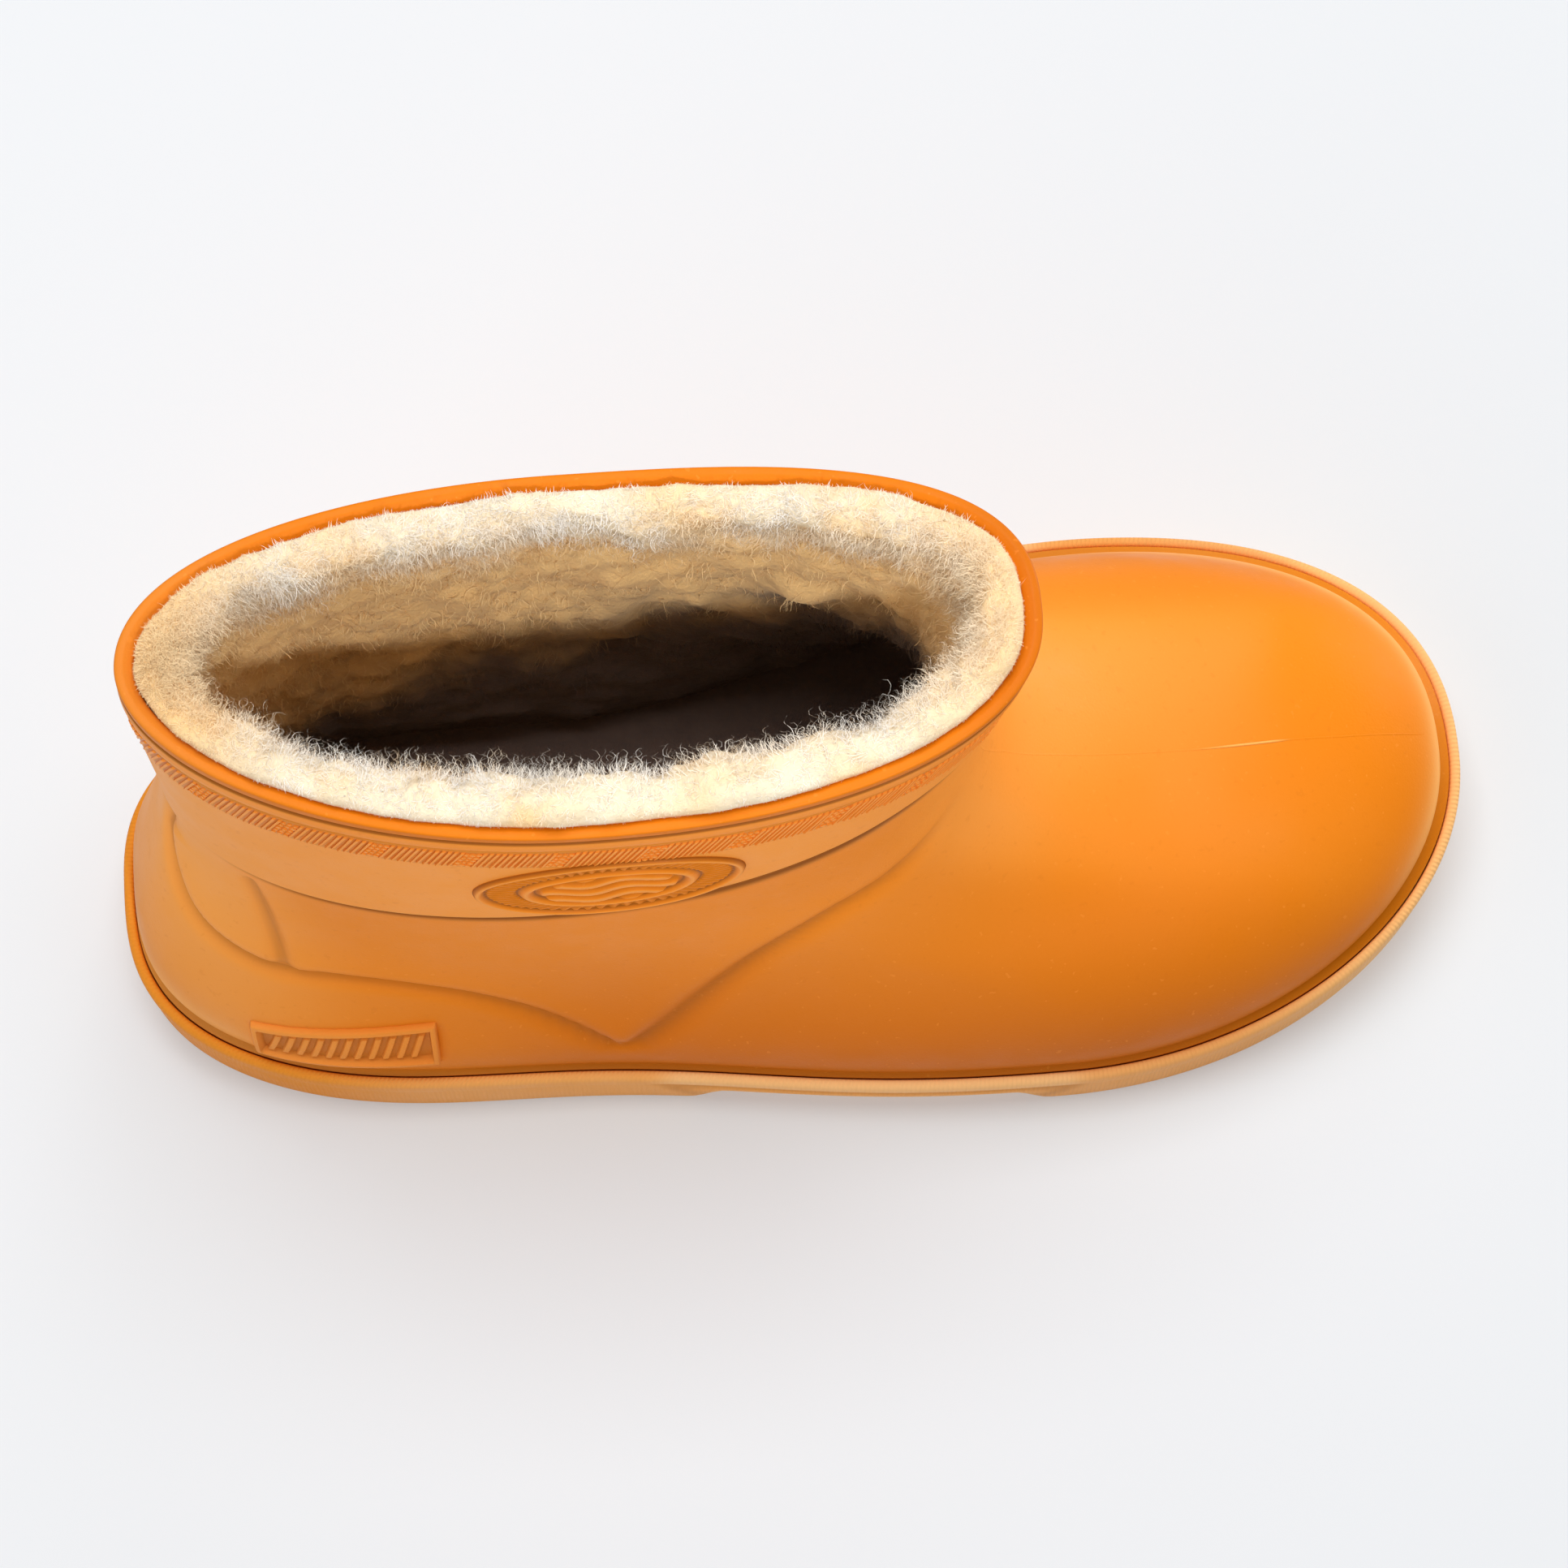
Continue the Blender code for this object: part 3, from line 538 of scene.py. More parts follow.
def sole_outline(angle, inset=0.0):
    """Outline of the sole in plan, moved in by inset."""
    cosine = np.cos(angle)
    lateral = np.sin(angle) < 0.0
    reach = np.where(cosine < 0.0, BALL_X - HEEL_X, TOE_X - BALL_X) - inset
    x = BALL_X + cosine * reach
    toe_blunt = np.where(lateral, TOE_BLUNT_LATERAL, TOE_BLUNT_MEDIAL)
    heel_blunt = np.where(lateral, HEEL_BLUNT_LATERAL, HEEL_BLUNT_MEDIAL)
    blunt = np.where(cosine < 0.0, heel_blunt, toe_blunt)
    pinch = WAIST_PINCH * np.where(lateral, 1.0, MEDIAL_PINCH_SHARE) * waist(x)
    width = np.where(lateral, BALL_LATERAL, BALL_MEDIAL) - inset - pinch
    side = np.where(lateral, -1.0, 1.0)
    return x, foot_axis(x) + side * width * rounded_half(cosine, blunt)


def spline_bends(table):
    """Second differences of a natural cubic through the rows of a table."""
    count = len(table)
    matrix = np.eye(count)
    right = np.zeros_like(table)
    for row in range(1, count - 1):
        matrix[row, row - 1:row + 2] = (1.0, 4.0, 1.0)
        right[row] = 6.0 * (table[row - 1] - 2.0 * table[row] + table[row + 1])
    return np.linalg.solve(matrix, right)


SECTION_TABLE = np.array(SECTION_ROWS)
SECTION_BENDS = spline_bends(SECTION_TABLE)


def section(level):
    """Sizes of the ring at a level, smooth between the rows."""
    low = np.clip(np.floor(level).astype(int), 0, COLLAR_LEVEL - 1)
    up = (level - low)[..., None]
    down = 1.0 - up
    sizes = down * SECTION_TABLE[low] + up * SECTION_TABLE[low + 1]
    sizes = sizes + (down ** 3 - down) / 6.0 * SECTION_BENDS[low]
    sizes = sizes + (up ** 3 - up) / 6.0 * SECTION_BENDS[low + 1]
    return {name: sizes[..., index] for index, name in enumerate(SECTION_COLUMNS)}


def last_surface(angle, level):
    """Point of the upper's plain wall at an angle round it and a ring level."""
    angle, level = np.broadcast_arrays(np.asarray(angle, float), np.asarray(level, float))
    ring = section(level)
    cosine = np.cos(angle)
    lateral = np.sin(angle) < 0.0
    behind = cosine < 0.0
    reach = np.where(behind, ring["wide_x"] - ring["back_x"], ring["front_x"] - ring["wide_x"])
    x = ring["wide_x"] + cosine * reach
    toe_blunt = np.where(lateral, ring["lateral_n"], ring["medial_n"])
    heel_blunt = np.where(lateral, ring["heel_n"], ring["medial_heel_n"])
    blunt = np.where(behind, heel_blunt, toe_blunt)
    pinch = ring["pinch"] * np.where(lateral, 1.0, MEDIAL_PINCH_SHARE) * waist(x)
    width = np.where(lateral, ring["lateral"], ring["medial"]) - pinch
    shaft_axis = SHAFT_AXIS_Y + SHAFT_AXIS_BEND * (x - SHAFT_AXIS_X) ** 2
    axis = (1.0 - ring["shaft"]) * foot_axis(x) + ring["shaft"] * shaft_axis
    y = axis + np.where(lateral, -1.0, 1.0) * width * rounded_half(cosine, blunt)
    along = (x - ring["back_x"]) / (ring["front_x"] - ring["back_x"])
    rim_back = rim_height(ring["back_x"])
    rim_line = rim_back + (rim_height(ring["front_x"]) - rim_back) * along
    z = ring["back_z"] + (ring["front_z"] - ring["back_z"]) * along
    z = z + ring["follow"] * (rim_height(x) - rim_line)
    dip = np.clip(level / COLLAR_LEVEL, 0.0, 1.0) ** COLLAR_DIP_POWER
    z = z - COLLAR_DIP * np.sin(angle) ** 2 * dip
    return np.stack((x, y, z), axis=-1)


def outward(angle, level):
    """Unit normal of the plain wall, pointing out of the boot."""
    low = np.clip(np.asarray(level, float) - NORMAL_STEP, 0.0, COLLAR_LEVEL - 2.0 * NORMAL_STEP)
    high = low + 2.0 * NORMAL_STEP
    middle = low + NORMAL_STEP
    round_ = last_surface(angle + NORMAL_STEP, middle) - last_surface(angle - NORMAL_STEP, middle)
    rising = last_surface(angle, high) - last_surface(angle, low)
    return unit(np.cross(round_, rising))


def wall(angle, level, distance):
    """Point at a distance outside the plain wall (negative is inside)."""
    angle, level, distance = np.broadcast_arrays(
        np.asarray(angle, float), np.asarray(level, float), np.asarray(distance, float))
    return last_surface(angle, level) + outward(angle, level) * distance[..., None]


def panel_level(angle):
    """Ring level of the shaft panel's lower edge, rounded between the rows."""
    angles = column(PANEL_ROWS, PANEL_COLUMNS, "angle")
    levels = column(PANEL_ROWS, PANEL_COLUMNS, "level")
    turn = np.degrees(np.abs(np.arctan2(np.sin(angle), np.cos(angle))))
    total = 0.0
    for shift in PANEL_SHIFTS:
        near = np.abs(turn + shift * PANEL_SMOOTH)
        near = np.where(near > 180.0, 360.0 - near, near)
        total = total + np.interp(near, angles, levels)
    return total / len(PANEL_SHIFTS)


def level_below_collar(drop):
    """Ring level at a distance below the collar, read at the heel."""
    levels = np.linspace(COLLAR_LEVEL - DROP_LEVELS, COLLAR_LEVEL, DROP_STEPS)
    heights = section(levels)["back_z"]
    return np.interp(heights[-1] - np.asarray(drop, float), heights, levels)


def side_place(x, z):
    """Angle and level of a point of the outer side, from its x and z."""
    low = np.zeros_like(x)
    high = np.full_like(x, float(COLLAR_LEVEL))
    for _ in range(SIDE_HALVINGS):
        level = 0.5 * (low + high)
        ring = section(level)
        behind = x < ring["wide_x"]
        reach = np.where(behind, ring["wide_x"] - ring["back_x"], ring["front_x"] - ring["wide_x"])
        angle = -np.arccos(np.clip((x - ring["wide_x"]) / reach, -1.0, 1.0))
        above = last_surface(angle, level)[..., 2] > z
        high = np.where(above, level, high)
        low = np.where(above, low, level)
    return angle, level


def half_angles(count):
    """Angles from toe to heel along the outer side, closer where the outline turns."""
    angle = np.linspace(0.0, math.pi, TURN_STEPS)
    x, y = sole_outline(-angle)
    step_x = np.gradient(x)
    step_y = np.gradient(y)
    turn = np.abs(np.gradient(np.unwrap(np.arctan2(step_y, step_x))))
    travel = np.cumsum(np.hypot(step_x, step_y) + TURN_WEIGHT * turn)
    travel = (travel - travel[0]) / (travel[-1] - travel[0])
    return np.interp(np.linspace(0.0, 1.0, count + 1), travel, angle)


def both_sides(half):
    """Angles all the way round from those of one side."""
    return np.concatenate((half, -half[-2:0:-1]))


OUTLINE_Y = sole_outline(np.linspace(-math.pi, math.pi, PLAN_STEPS))[1]
MIDDLE_Y = 0.5 * (OUTLINE_Y.min() + OUTLINE_Y.max())


def placed(points):
    """Millimetres on the shoe to metres in the part's frame."""
    shift = np.array((0.5 * (HEEL_X + TOE_X), MIDDLE_Y, 0.0))
    return (np.asarray(points) - shift) * MM


def ledge_height(x):
    """Top of the sole inside its lip."""
    return rim_height(x) - LEDGE_BELOW_RIM


def on_floor_of(points, rise):
    """The same ring in plan, laid at a rise over the sole's ledge."""
    flat = points.copy()
    flat[..., 2] = ledge_height(points[..., 0]) + rise
    return flat


def smoothed(values, passes):
    """Running mean of the rows of a table, with its ends kept."""
    values = np.array(values, float)
    for _ in range(passes):
        values[1:-1] = 0.25 * values[:-2] + 0.5 * values[1:-1] + 0.25 * values[2:]
    return values


def resampled(rows, count, profile=None):
    """Rows of a table at even steps along their polyline, or along that of a profile."""
    rows = np.array(rows, float)
    travel = travelled(rows if profile is None else profile)
    even = np.linspace(0.0, travel[-1], count)
    return np.stack([np.interp(even, travel, values) for values in rows.T], axis=1)


def cloud(points, size, shift):
    """Smooth noise at points, with lumps of a size in millimetres."""
    flat = np.asarray(points).reshape(-1, 3) / size + shift
    values = [noise.fractal(Vector(point), 1.0, 2.0, CLOUD_OCTAVES) for point in flat]
    return np.array(values).reshape(np.shape(points)[:-1])


def ring_quads(ring_count, columns, joined=False):
    """Quads between closed rings of points, joined from last to first if asked."""
    ring = np.arange(ring_count if joined else ring_count - 1)
    low, here = np.meshgrid(ring, np.arange(columns), indexing="ij")
    after = (here + 1) % columns
    high = (low + 1) % ring_count
    quads = np.stack((low * columns + here, low * columns + after, high * columns + after,
                      high * columns + here), axis=-1)
    return quads.reshape(-1, 4)


def grid_quads(rows, columns, first=0):
    """Quads of an open grid of points."""
    low, here = np.meshgrid(np.arange(rows - 1), np.arange(columns - 1), indexing="ij")
    start = low * columns + here
    quads = np.stack((start, start + 1, start + columns + 1, start + columns), axis=-1)
    return quads.reshape(-1, 4) + first


def fan(strips):
    """Triangles from quads that have two corners in one place."""
    return np.array([list(dict.fromkeys(corners.tolist())) for corners in strips]).reshape(-1, 3)


def side_columns(columns):
    """Numbers of a ring's points from toe to heel, along its outer and its inner side."""
    half = columns // 2
    medial = np.arange(half + 1)
    lateral = np.concatenate(((0,), np.arange(columns - 1, half, -1), (half,)))
    return lateral, medial


def lid_faces(lateral, medial):
    """Faces from side to side of a ring, with triangles at toe and heel."""
    lid = np.stack((lateral[:-1], medial[:-1], medial[1:], lateral[1:]), axis=-1)
    return [lid[1:-1], fan(lid[[0, -1]])]


def mesh_object(name, points, groups, look, sharp=None):
    """Object from points in shoe millimetres and groups of faces."""
    mesh = bpy.data.meshes.new(name)
    corners = np.concatenate([group.ravel() for group in groups])
    sizes = np.concatenate([np.full(len(group), group.shape[1]) for group in groups])
    starts = np.concatenate(((0,), np.cumsum(sizes)[:-1]))
    mesh.vertices.add(len(points))
    mesh.vertices.foreach_set("co", placed(points).astype(np.float32).ravel())
    mesh.loops.add(len(corners))
    mesh.loops.foreach_set("vertex_index", corners.astype(np.int32))
    mesh.polygons.add(len(sizes))
    mesh.polygons.foreach_set("loop_start", starts.astype(np.int32))
    mesh.update(calc_edges=True)
    mesh.validate()
    mesh.shade_smooth()
    if sharp is not None:
        mesh.set_sharp_from_angle(angle=math.radians(sharp))
    mesh.materials.append(look)
    made = bpy.data.objects.new(name, mesh)
    bpy.context.scene.collection.objects.link(made)
    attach(made, "root")
    return made


def store(made, name, values, domain="POINT"):
    """Store one number for each point or corner, 0 past the end of the values."""
    stored = made.data.attributes.new(name, "FLOAT", domain)
    numbers = np.zeros(len(stored.data), np.float32)
    numbers[:np.size(values)] = np.ravel(values)
    stored.data.foreach_set("value", numbers)


def ring_corners(values, ring_count):
    """Corner values of ring quads from one value a column and one past the end."""
    low = values[:-1]
    high = values[1:]
    one = np.stack((low, high, high, low), axis=-1)
    return np.tile(one[None], (ring_count, 1, 1)).reshape(-1)


class Look:
    """Small helper to write a Principled material with procedural nodes."""

    def __init__(self, name, roughness=0.5):
        self.made = bpy.data.materials.new(name)
        self.made.use_nodes = True
        self.tree = self.made.node_tree
        self.shader = self.tree.nodes["Principled BSDF"]
        self.shader.inputs["Roughness"].default_value = roughness
        self.place = self.tree.nodes.new("ShaderNodeTexCoord").outputs["Object"]

    def node(self, kind, **settings):
        made = self.tree.nodes.new("ShaderNode" + kind)
        for key, value in settings.items():
            setattr(made, key, value)
        return made

    def feed(self, socket, value):
        if isinstance(value, bpy.types.NodeSocket):
            self.tree.links.new(value, socket)
        else:
            socket.default_value = value

    def noise(self, scale, detail, rough=0.55):
        made = self.node("TexNoise")
        self.feed(made.inputs["Vector"], self.place)
        self.feed(made.inputs["Scale"], scale)
        self.feed(made.inputs["Detail"], detail)
        self.feed(made.inputs["Roughness"], rough)
        return made.outputs["Fac"]

    def math(self, operation, first, second=0.0):
        made = self.node("Math", operation=operation)
        self.feed(made.inputs[0], first)
        self.feed(made.inputs[1], second)
        return made.outputs[0]

    def span(self, value, low, high, least, most):
        made = self.node("MapRange", interpolation_type="SMOOTHSTEP")
        self.feed(made.inputs["Value"], value)
        self.feed(made.inputs["From Min"], low)
        self.feed(made.inputs["From Max"], high)
        self.feed(made.inputs["To Min"], least)
        self.feed(made.inputs["To Max"], most)
        return made.outputs["Result"]

    def zone(self, axis, start, end, least, most):
        return self.span(self.axis(axis), start, end, least, most)

    def flecks(self, scale, detail, low, high, least, most):
        return self.span(self.noise(scale, detail), low, high, least, most)

    def grain(self, scale, detail, depth, strength, under=None):
        return self.bump(self.noise(scale, detail), depth, strength, under)

    def axis(self, name):
        made = self.node("SeparateXYZ")
        self.feed(made.inputs[0], self.place)
        return made.outputs[name]

    def stored(self, name):
        return self.node("Attribute", attribute_name=name).outputs["Fac"]

    def blend(self, share, first, second):
        made = self.node("Mix", data_type="RGBA")
        self.feed(made.inputs["Factor"], share)
        sockets = [socket for socket in made.inputs if socket.type == "RGBA"]
        for socket, value in zip(sockets, (first, second)):
            self.feed(socket, value if isinstance(value, bpy.types.NodeSocket) else (*value, 1.0))
        return [socket for socket in made.outputs if socket.type == "RGBA"][0]

    def bump(self, height, distance, strength, under=None):
        made = self.node("Bump")
        self.feed(made.inputs["Height"], height)
        self.feed(made.inputs["Distance"], distance * MM)
        self.feed(made.inputs["Strength"], strength)
        if under is not None:
            self.feed(made.inputs["Normal"], under)
        return made.outputs["Normal"]

    def set(self, **values):
        for key, value in values.items():
            socket = self.shader.inputs[key.replace("_", " ").title().replace("Ior", "IOR")]
            if isinstance(value, tuple):
                value = (*value, 1.0)
            self.feed(socket, value)
        return self.made


# Colours
ORANGE = (0.93, 0.262, 0.004)
ORANGE_DEEP = (0.56, 0.130, 0.003)
ORANGE_PALE = (0.93, 0.335, 0.052)
ORANGE_LIT = (1.0, 0.46, 0.11)
# Brown of the painted shade in grooves, creases and recesses
PAINTED_SHADE_BROWN = (0.26, 0.075, 0.006)
SOLE_TAN = (0.84, 0.365, 0.09)
SOLE_WORN = (0.86, 0.40, 0.125)
SOLE_HEEL = (0.80, 0.27, 0.018)
SOLE_TOE = (0.93, 0.50, 0.18)
# Colours of the sole's painted highlight and painted shade
SOLE_PALE = (0.96, 0.58, 0.26)
SOLE_TAN_DEEP = (0.52, 0.20, 0.04)
PILE_CREAM = (0.88, 0.76, 0.56)
PILE_TAN = (0.90, 0.60, 0.26)
FIBRE_CREAM = (0.95, 0.90, 0.83)
FIBRE_TAN = (1.0, 0.72, 0.36)
FLEECE_SHADE = (0.15, 0.102, 0.085)
FLEECE_SHEEN = (1.0, 0.94, 0.82)
FELT_COLOURS = ((0.16, 0.112, 0.095), (0.25, 0.175, 0.145))
FLOOR_COLOURS = ((0.590, 0.615, 0.642), (0.598, 0.623, 0.650))
WHITE = (1.0, 1.0, 1.0)

# Noise over a surface: scale, detail, span of the noise, value at each end of the span
RUBBER_DRIFT = (16.0, 2.0, 0.3, 0.7, -0.025, 0.025)
RUBBER_SPECKS = (520.0, 2.0, 0.62, 0.74, 0.0, 0.12)
RUBBER_DUST = (760.0, 1.0, 0.70, 0.76, 0.0, 0.22)
RUBBER_GLOSS = (90.0, 3.0, 0.3, 0.7, 0.42, 0.54)
SOLE_PATCHES = (22.0, 3.0, 0.35, 0.7, 0.0, 1.0)
SOLE_GLOSS = (70.0, 3.0, 0.3, 0.7, 0.5, 0.62)
FLEECE_PATCHES = (70.0, 3.0, 0.38, 0.70, 0.0, 0.25)
FLEECE_CLOUDS = (42.0, 3.0, 0.25, 0.75, -0.012, 0.012)
FELT_NOISE = (180.0, 4.0)
FLOOR_NOISE = (1.5, 2.0)

# Zones of a colour: axis, start and end in metres, share at each
HEEL_LIT = ("X", -0.085, -0.125, 0.0, 0.35)
RIM_FRONT = ("X", 0.020, 0.045, 0.48, 0.85)
# Painted shade low on the outer side of the foot: along, up and across
LOW_BACK = ("X", -0.10, -0.03, 0.30, 0.90)
LOW_FRONT = ("X", 0.06, 0.12, 1.0, 0.6)
LOW_HEIGHT = ("Z", 0.080, 0.025, 0.0, 1.0)
LOW_SIDE = ("Y", 0.03, -0.01, 0.4, 1.0)
SOLE_BACK = ("X", -0.065, -0.110, 0.0, 0.95)
SOLE_FRONT = ("X", 0.085, 0.125, 0.0, 0.9)
# Painted shade at the foot of the sole
SOLE_LOW = ("Z", 0.0, 0.006, 0.30, 0.0)
FLEECE_HEEL = ("X", -0.088, -0.116, 0.0, 0.88)
FLEECE_FRONT = ("X", 0.012, 0.040, 0.0, 0.65)

# Spans of a value: start, end, share at each
# Painted sheen, paler towards heel, shaft and the vamp's top
PAINTED_SHEEN = (0.140, 0.025, 0.0, 0.90)
DEEP_SPAN = (0.2, 0.7, 0.0, 0.22)
RIM_DEEP = (0.88, 1.0, 0.0, 1.0)
EDGE_WEAR = (0.52, 0.60, 0.0, 0.18)
# Fleece: painted warm shade further down, painted shadow of the collar deep inside, higher towards the toe
FLEECE_TAN = (0.148, 0.127, 0.0, 1.0)
FLEECE_DARK = (0.113, 0.075, 0.0, 1.0)
FLEECE_TOEWARD = -0.36

# Grain: scale, detail, depth in millimetres, strength
RUBBER_GRAIN = (1900.0, 2.0, 0.10, 0.55)
RUBBER_PITS = (260.0, 3.0, 0.12, 0.35)
SOLE_GRAIN = (1500.0, 2.0, 0.08, 0.4)
FLEECE_CURLS = (420.0, 3.0, 0.9, 0.6)
FELT_NAP = (900.0, 4.0, 0.4, 0.6)
FUZZ_NOISE = (1500.0, 4.0, 0.7)
FUZZ_BUMP = (0.5, 0.6)
SOLE_RIB_PITCH = 0.95
SOLE_RIB_BUMP = (0.10, 0.5)

# Shine, sheen and glow
RUBBER_SPECULAR = 0.11
SOLE_SPECULAR = 0.10
FLOOR_SPECULAR = 0.1
FLOOR_GLOW = 0.30
CLOTH_ROUGHNESS = 0.95
FLOOR_ROUGHNESS = 0.9
FLEECE_SHEEN_WEIGHT = 0.12
FELT_SHEEN_WEIGHT = 0.1
SHEEN_ROUGHNESS = 0.6


def rubber_look(name):
    """Matt moulded rubber: deep orange at the toe, painted sheen on heel and shaft, painted shade and
    highlights, fine grain.
    """
    look = Look(name)
    deep = look.stored("deep")
    # Painted sheen: paler towards heel, shaft and the vamp's top, less where the orange is deep
    painted_sheen = look.span(look.math("ADD", look.axis("X"), look.flecks(*RUBBER_DRIFT)), *PAINTED_SHEEN)
    sheen_share = look.math("MULTIPLY", painted_sheen, look.math("SUBTRACT", 1.0, deep))
    colour = look.blend(sheen_share, ORANGE, ORANGE_PALE)
    colour = look.blend(look.span(deep, *DEEP_SPAN), colour, ORANGE_DEEP)
    colour = look.blend(look.zone(*HEEL_LIT), colour, ORANGE_LIT)
    rim = look.math("MULTIPLY", look.span(deep, *RIM_DEEP), look.zone(*RIM_FRONT))
    colour = look.blend(rim, colour, ORANGE_DEEP)
    # Painted shade low on the outer side of the foot
    along = look.math("MULTIPLY", look.zone(*LOW_BACK), look.zone(*LOW_FRONT))
    low = look.math("MULTIPLY", look.zone(*LOW_HEIGHT), look.zone(*LOW_SIDE))
    colour = look.blend(look.math("MULTIPLY", low, along), colour, ORANGE_DEEP)
    colour = look.blend(look.flecks(*RUBBER_SPECKS), colour, ORANGE_DEEP)
    colour = look.blend(look.flecks(*RUBBER_DUST), colour, ORANGE_PALE)
    edge = look.span(look.node("NewGeometry").outputs["Pointiness"], *EDGE_WEAR)
    colour = look.blend(edge, colour, ORANGE_PALE)
    # Painted highlights on the toe edge, crests, bars and the nick
    colour = look.blend(look.stored("pale"), colour, ORANGE_LIT)
    # Painted shade in grooves, creases, recesses and the channel over the sole
    colour = look.blend(look.stored("painted_shade"), colour, PAINTED_SHADE_BROWN)
    pits = look.grain(*RUBBER_PITS, look.grain(*RUBBER_GRAIN))
    look.set(base_color=colour, roughness=look.flecks(*RUBBER_GLOSS))
    return look.set(normal=pits, specular_ior_level=RUBBER_SPECULAR)


def collar_profile():
    """Drop and raise of the rings from the panel over the rim to the inside."""
    length = travelled(COLLAR_ROWS)[-1]
    beads = smoothed(resampled(COLLAR_ROWS, int(length / COLLAR_STEP)), COLLAR_ROUNDING)
    band = [(drop, COLLAR_ROWS[0][1]) for drop in BAND_DROPS]
    return np.concatenate((band, beads))


def panel_relief(angle, over_edge):
    """Raised shaft panel with a fine groove under its edge: relief and share of the line of painted shade
    under it.
    """
    turn = np.degrees(np.abs(np.arctan2(np.sin(angle), np.cos(angle))))
    raise_ = PANEL_RAISE * smoothstep(*PANEL_STEP, over_edge)
    groove = bell(over_edge, PANEL_GROOVE_LEVEL, PANEL_GROOVE_WIDTH)
    line = bell(over_edge, PANEL_LINE_LEVEL, PANEL_LINE_WIDTH)
    fade = 1.0 - smoothstep(*PANEL_GROOVE_FADE, turn)
    return raise_ - PANEL_GROOVE * groove * fade, line * fade


def crease_relief(points, levels):
    """Soft troughs of the moulded lines, the same on both sides of the boot, and their share, used for
    painted shade.
    """
    relief = np.zeros(levels.shape)
    share = np.zeros(levels.shape)
    along = np.linspace(0.0, 1.0, CREASE_POINTS)
    for crease in CREASES:
        line = smoothed(resampled(crease["line"], CREASE_POINTS), CREASE_ROUNDING)
        angle, level = side_place(line[:, 0], line[:, 1])
        fade = smoothstep(0.0, crease["start"], along) * smoothstep(0.0, crease["end"], 1.0 - along)
        swell_width = CREASE_SWELL_REACH * crease["width"]
        for side in (1.0, -1.0):
            path = last_surface(side * angle, level)
            for row in range(len(points)):
                gap = np.linalg.norm(points[row][:, None, :] - path[None, :, :], axis=-1)
                near = gap.argmin(axis=1)
                distance = gap.min(axis=1)
                trough = bell(distance, 0.0, crease["width"])
                swell = bell(distance, 0.0, swell_width) * (levels[row] > level[near])
                shape = CREASE_SWELL * swell * (1.0 - trough) - trough
                relief[row] += crease["depth"] * fade[near] * shape
                share[row] = np.maximum(share[row], fade[near] * trough)
    return relief, share


def plate_border(x, z):
    """Distance inside the edge of the heel plate, negative outside it."""
    share = (x - PLATE_X[0]) / (PLATE_X[1] - PLATE_X[0])
    middle = PLATE_Z[0] + (PLATE_Z[1] - PLATE_Z[0]) * share
    return np.minimum(np.minimum(x - PLATE_X[0], PLATE_X[1] - x), PLATE_HEIGHT / 2.0 - np.abs(z - middle))


def collar_shade(drop, raise_):
    """Share of painted shade in the grooves of the collar and on the hatched band."""
    if BAND_DROPS[1] >= drop >= COLLAR_ROWS[0][0]:
        return BAND_SHADE
    if drop <= COLLAR_RIM_DROP:
        return 0.0
    sunk = 1.0 - smoothstep(*COLLAR_SHADE_RAISE, raise_)
    lines = max(bell(drop, line, COLLAR_LINE_WIDTH) for line in COLLAR_LINES)
    return max(COLLAR_SHADE * sunk, COLLAR_LINE_SHADE * lines)


def collar_deep(drop):
    """How deep the orange is on the collar: full on the rim, less on bead and band."""
    if drop <= COLLAR_RIM_DROP:
        return 1.0
    if drop < COLLAR_ROWS[0][0]:
        return COLLAR_DEEP
    return HATCH_DEEP if drop < BAND_DROPS[0] else 0.0


def near_side(angles):
    """1 on the outer side of the boot, 0 on its inner side."""
    return smoothstep(*NEAR_TURN, -np.sin(angles))


def channel_share(angles):
    """Share of painted shade in the channel over the sole, less on the inner side and at the toe."""
    share = CHANNEL_FAR + (1.0 - CHANNEL_FAR) * near_side(angles)
    return share * (1.0 - (1.0 - CHANNEL_TOE) * smoothstep(*TOE_EDGE_TURN, np.cos(angles)))


def toe_edge_share(angles, levels):
    """Share of the raised edge round the toe and the inner side, and of its painted highlight."""
    turn = smoothstep(*TOE_EDGE_TURN, np.abs(np.cos(angles)))
    return bell(levels, TOE_EDGE_LEVEL, TOE_EDGE_WIDTH) * turn * (1.0 - near_side(angles))


def upper_levels(edge, band):
    """Levels of the outer rings, from the flange over the panel's edge up to the band."""
    foot_top = edge + PANEL_STEP_LEVELS[0]
    panel_low = edge + PANEL_STEP_LEVELS[-1]
    foot_shares = np.linspace(0.0, 1.0, FOOT_RINGS, endpoint=False)
    panel_shares = np.linspace(0.0, 1.0, PANEL_RINGS + 1)[1:-1]
    levels = [FOOT_START + share * (foot_top - FOOT_START) for share in foot_shares]
    levels += [edge + step for step in PANEL_STEP_LEVELS]
    levels += [panel_low + share * (band - panel_low) for share in panel_shares]
    return np.array(levels)


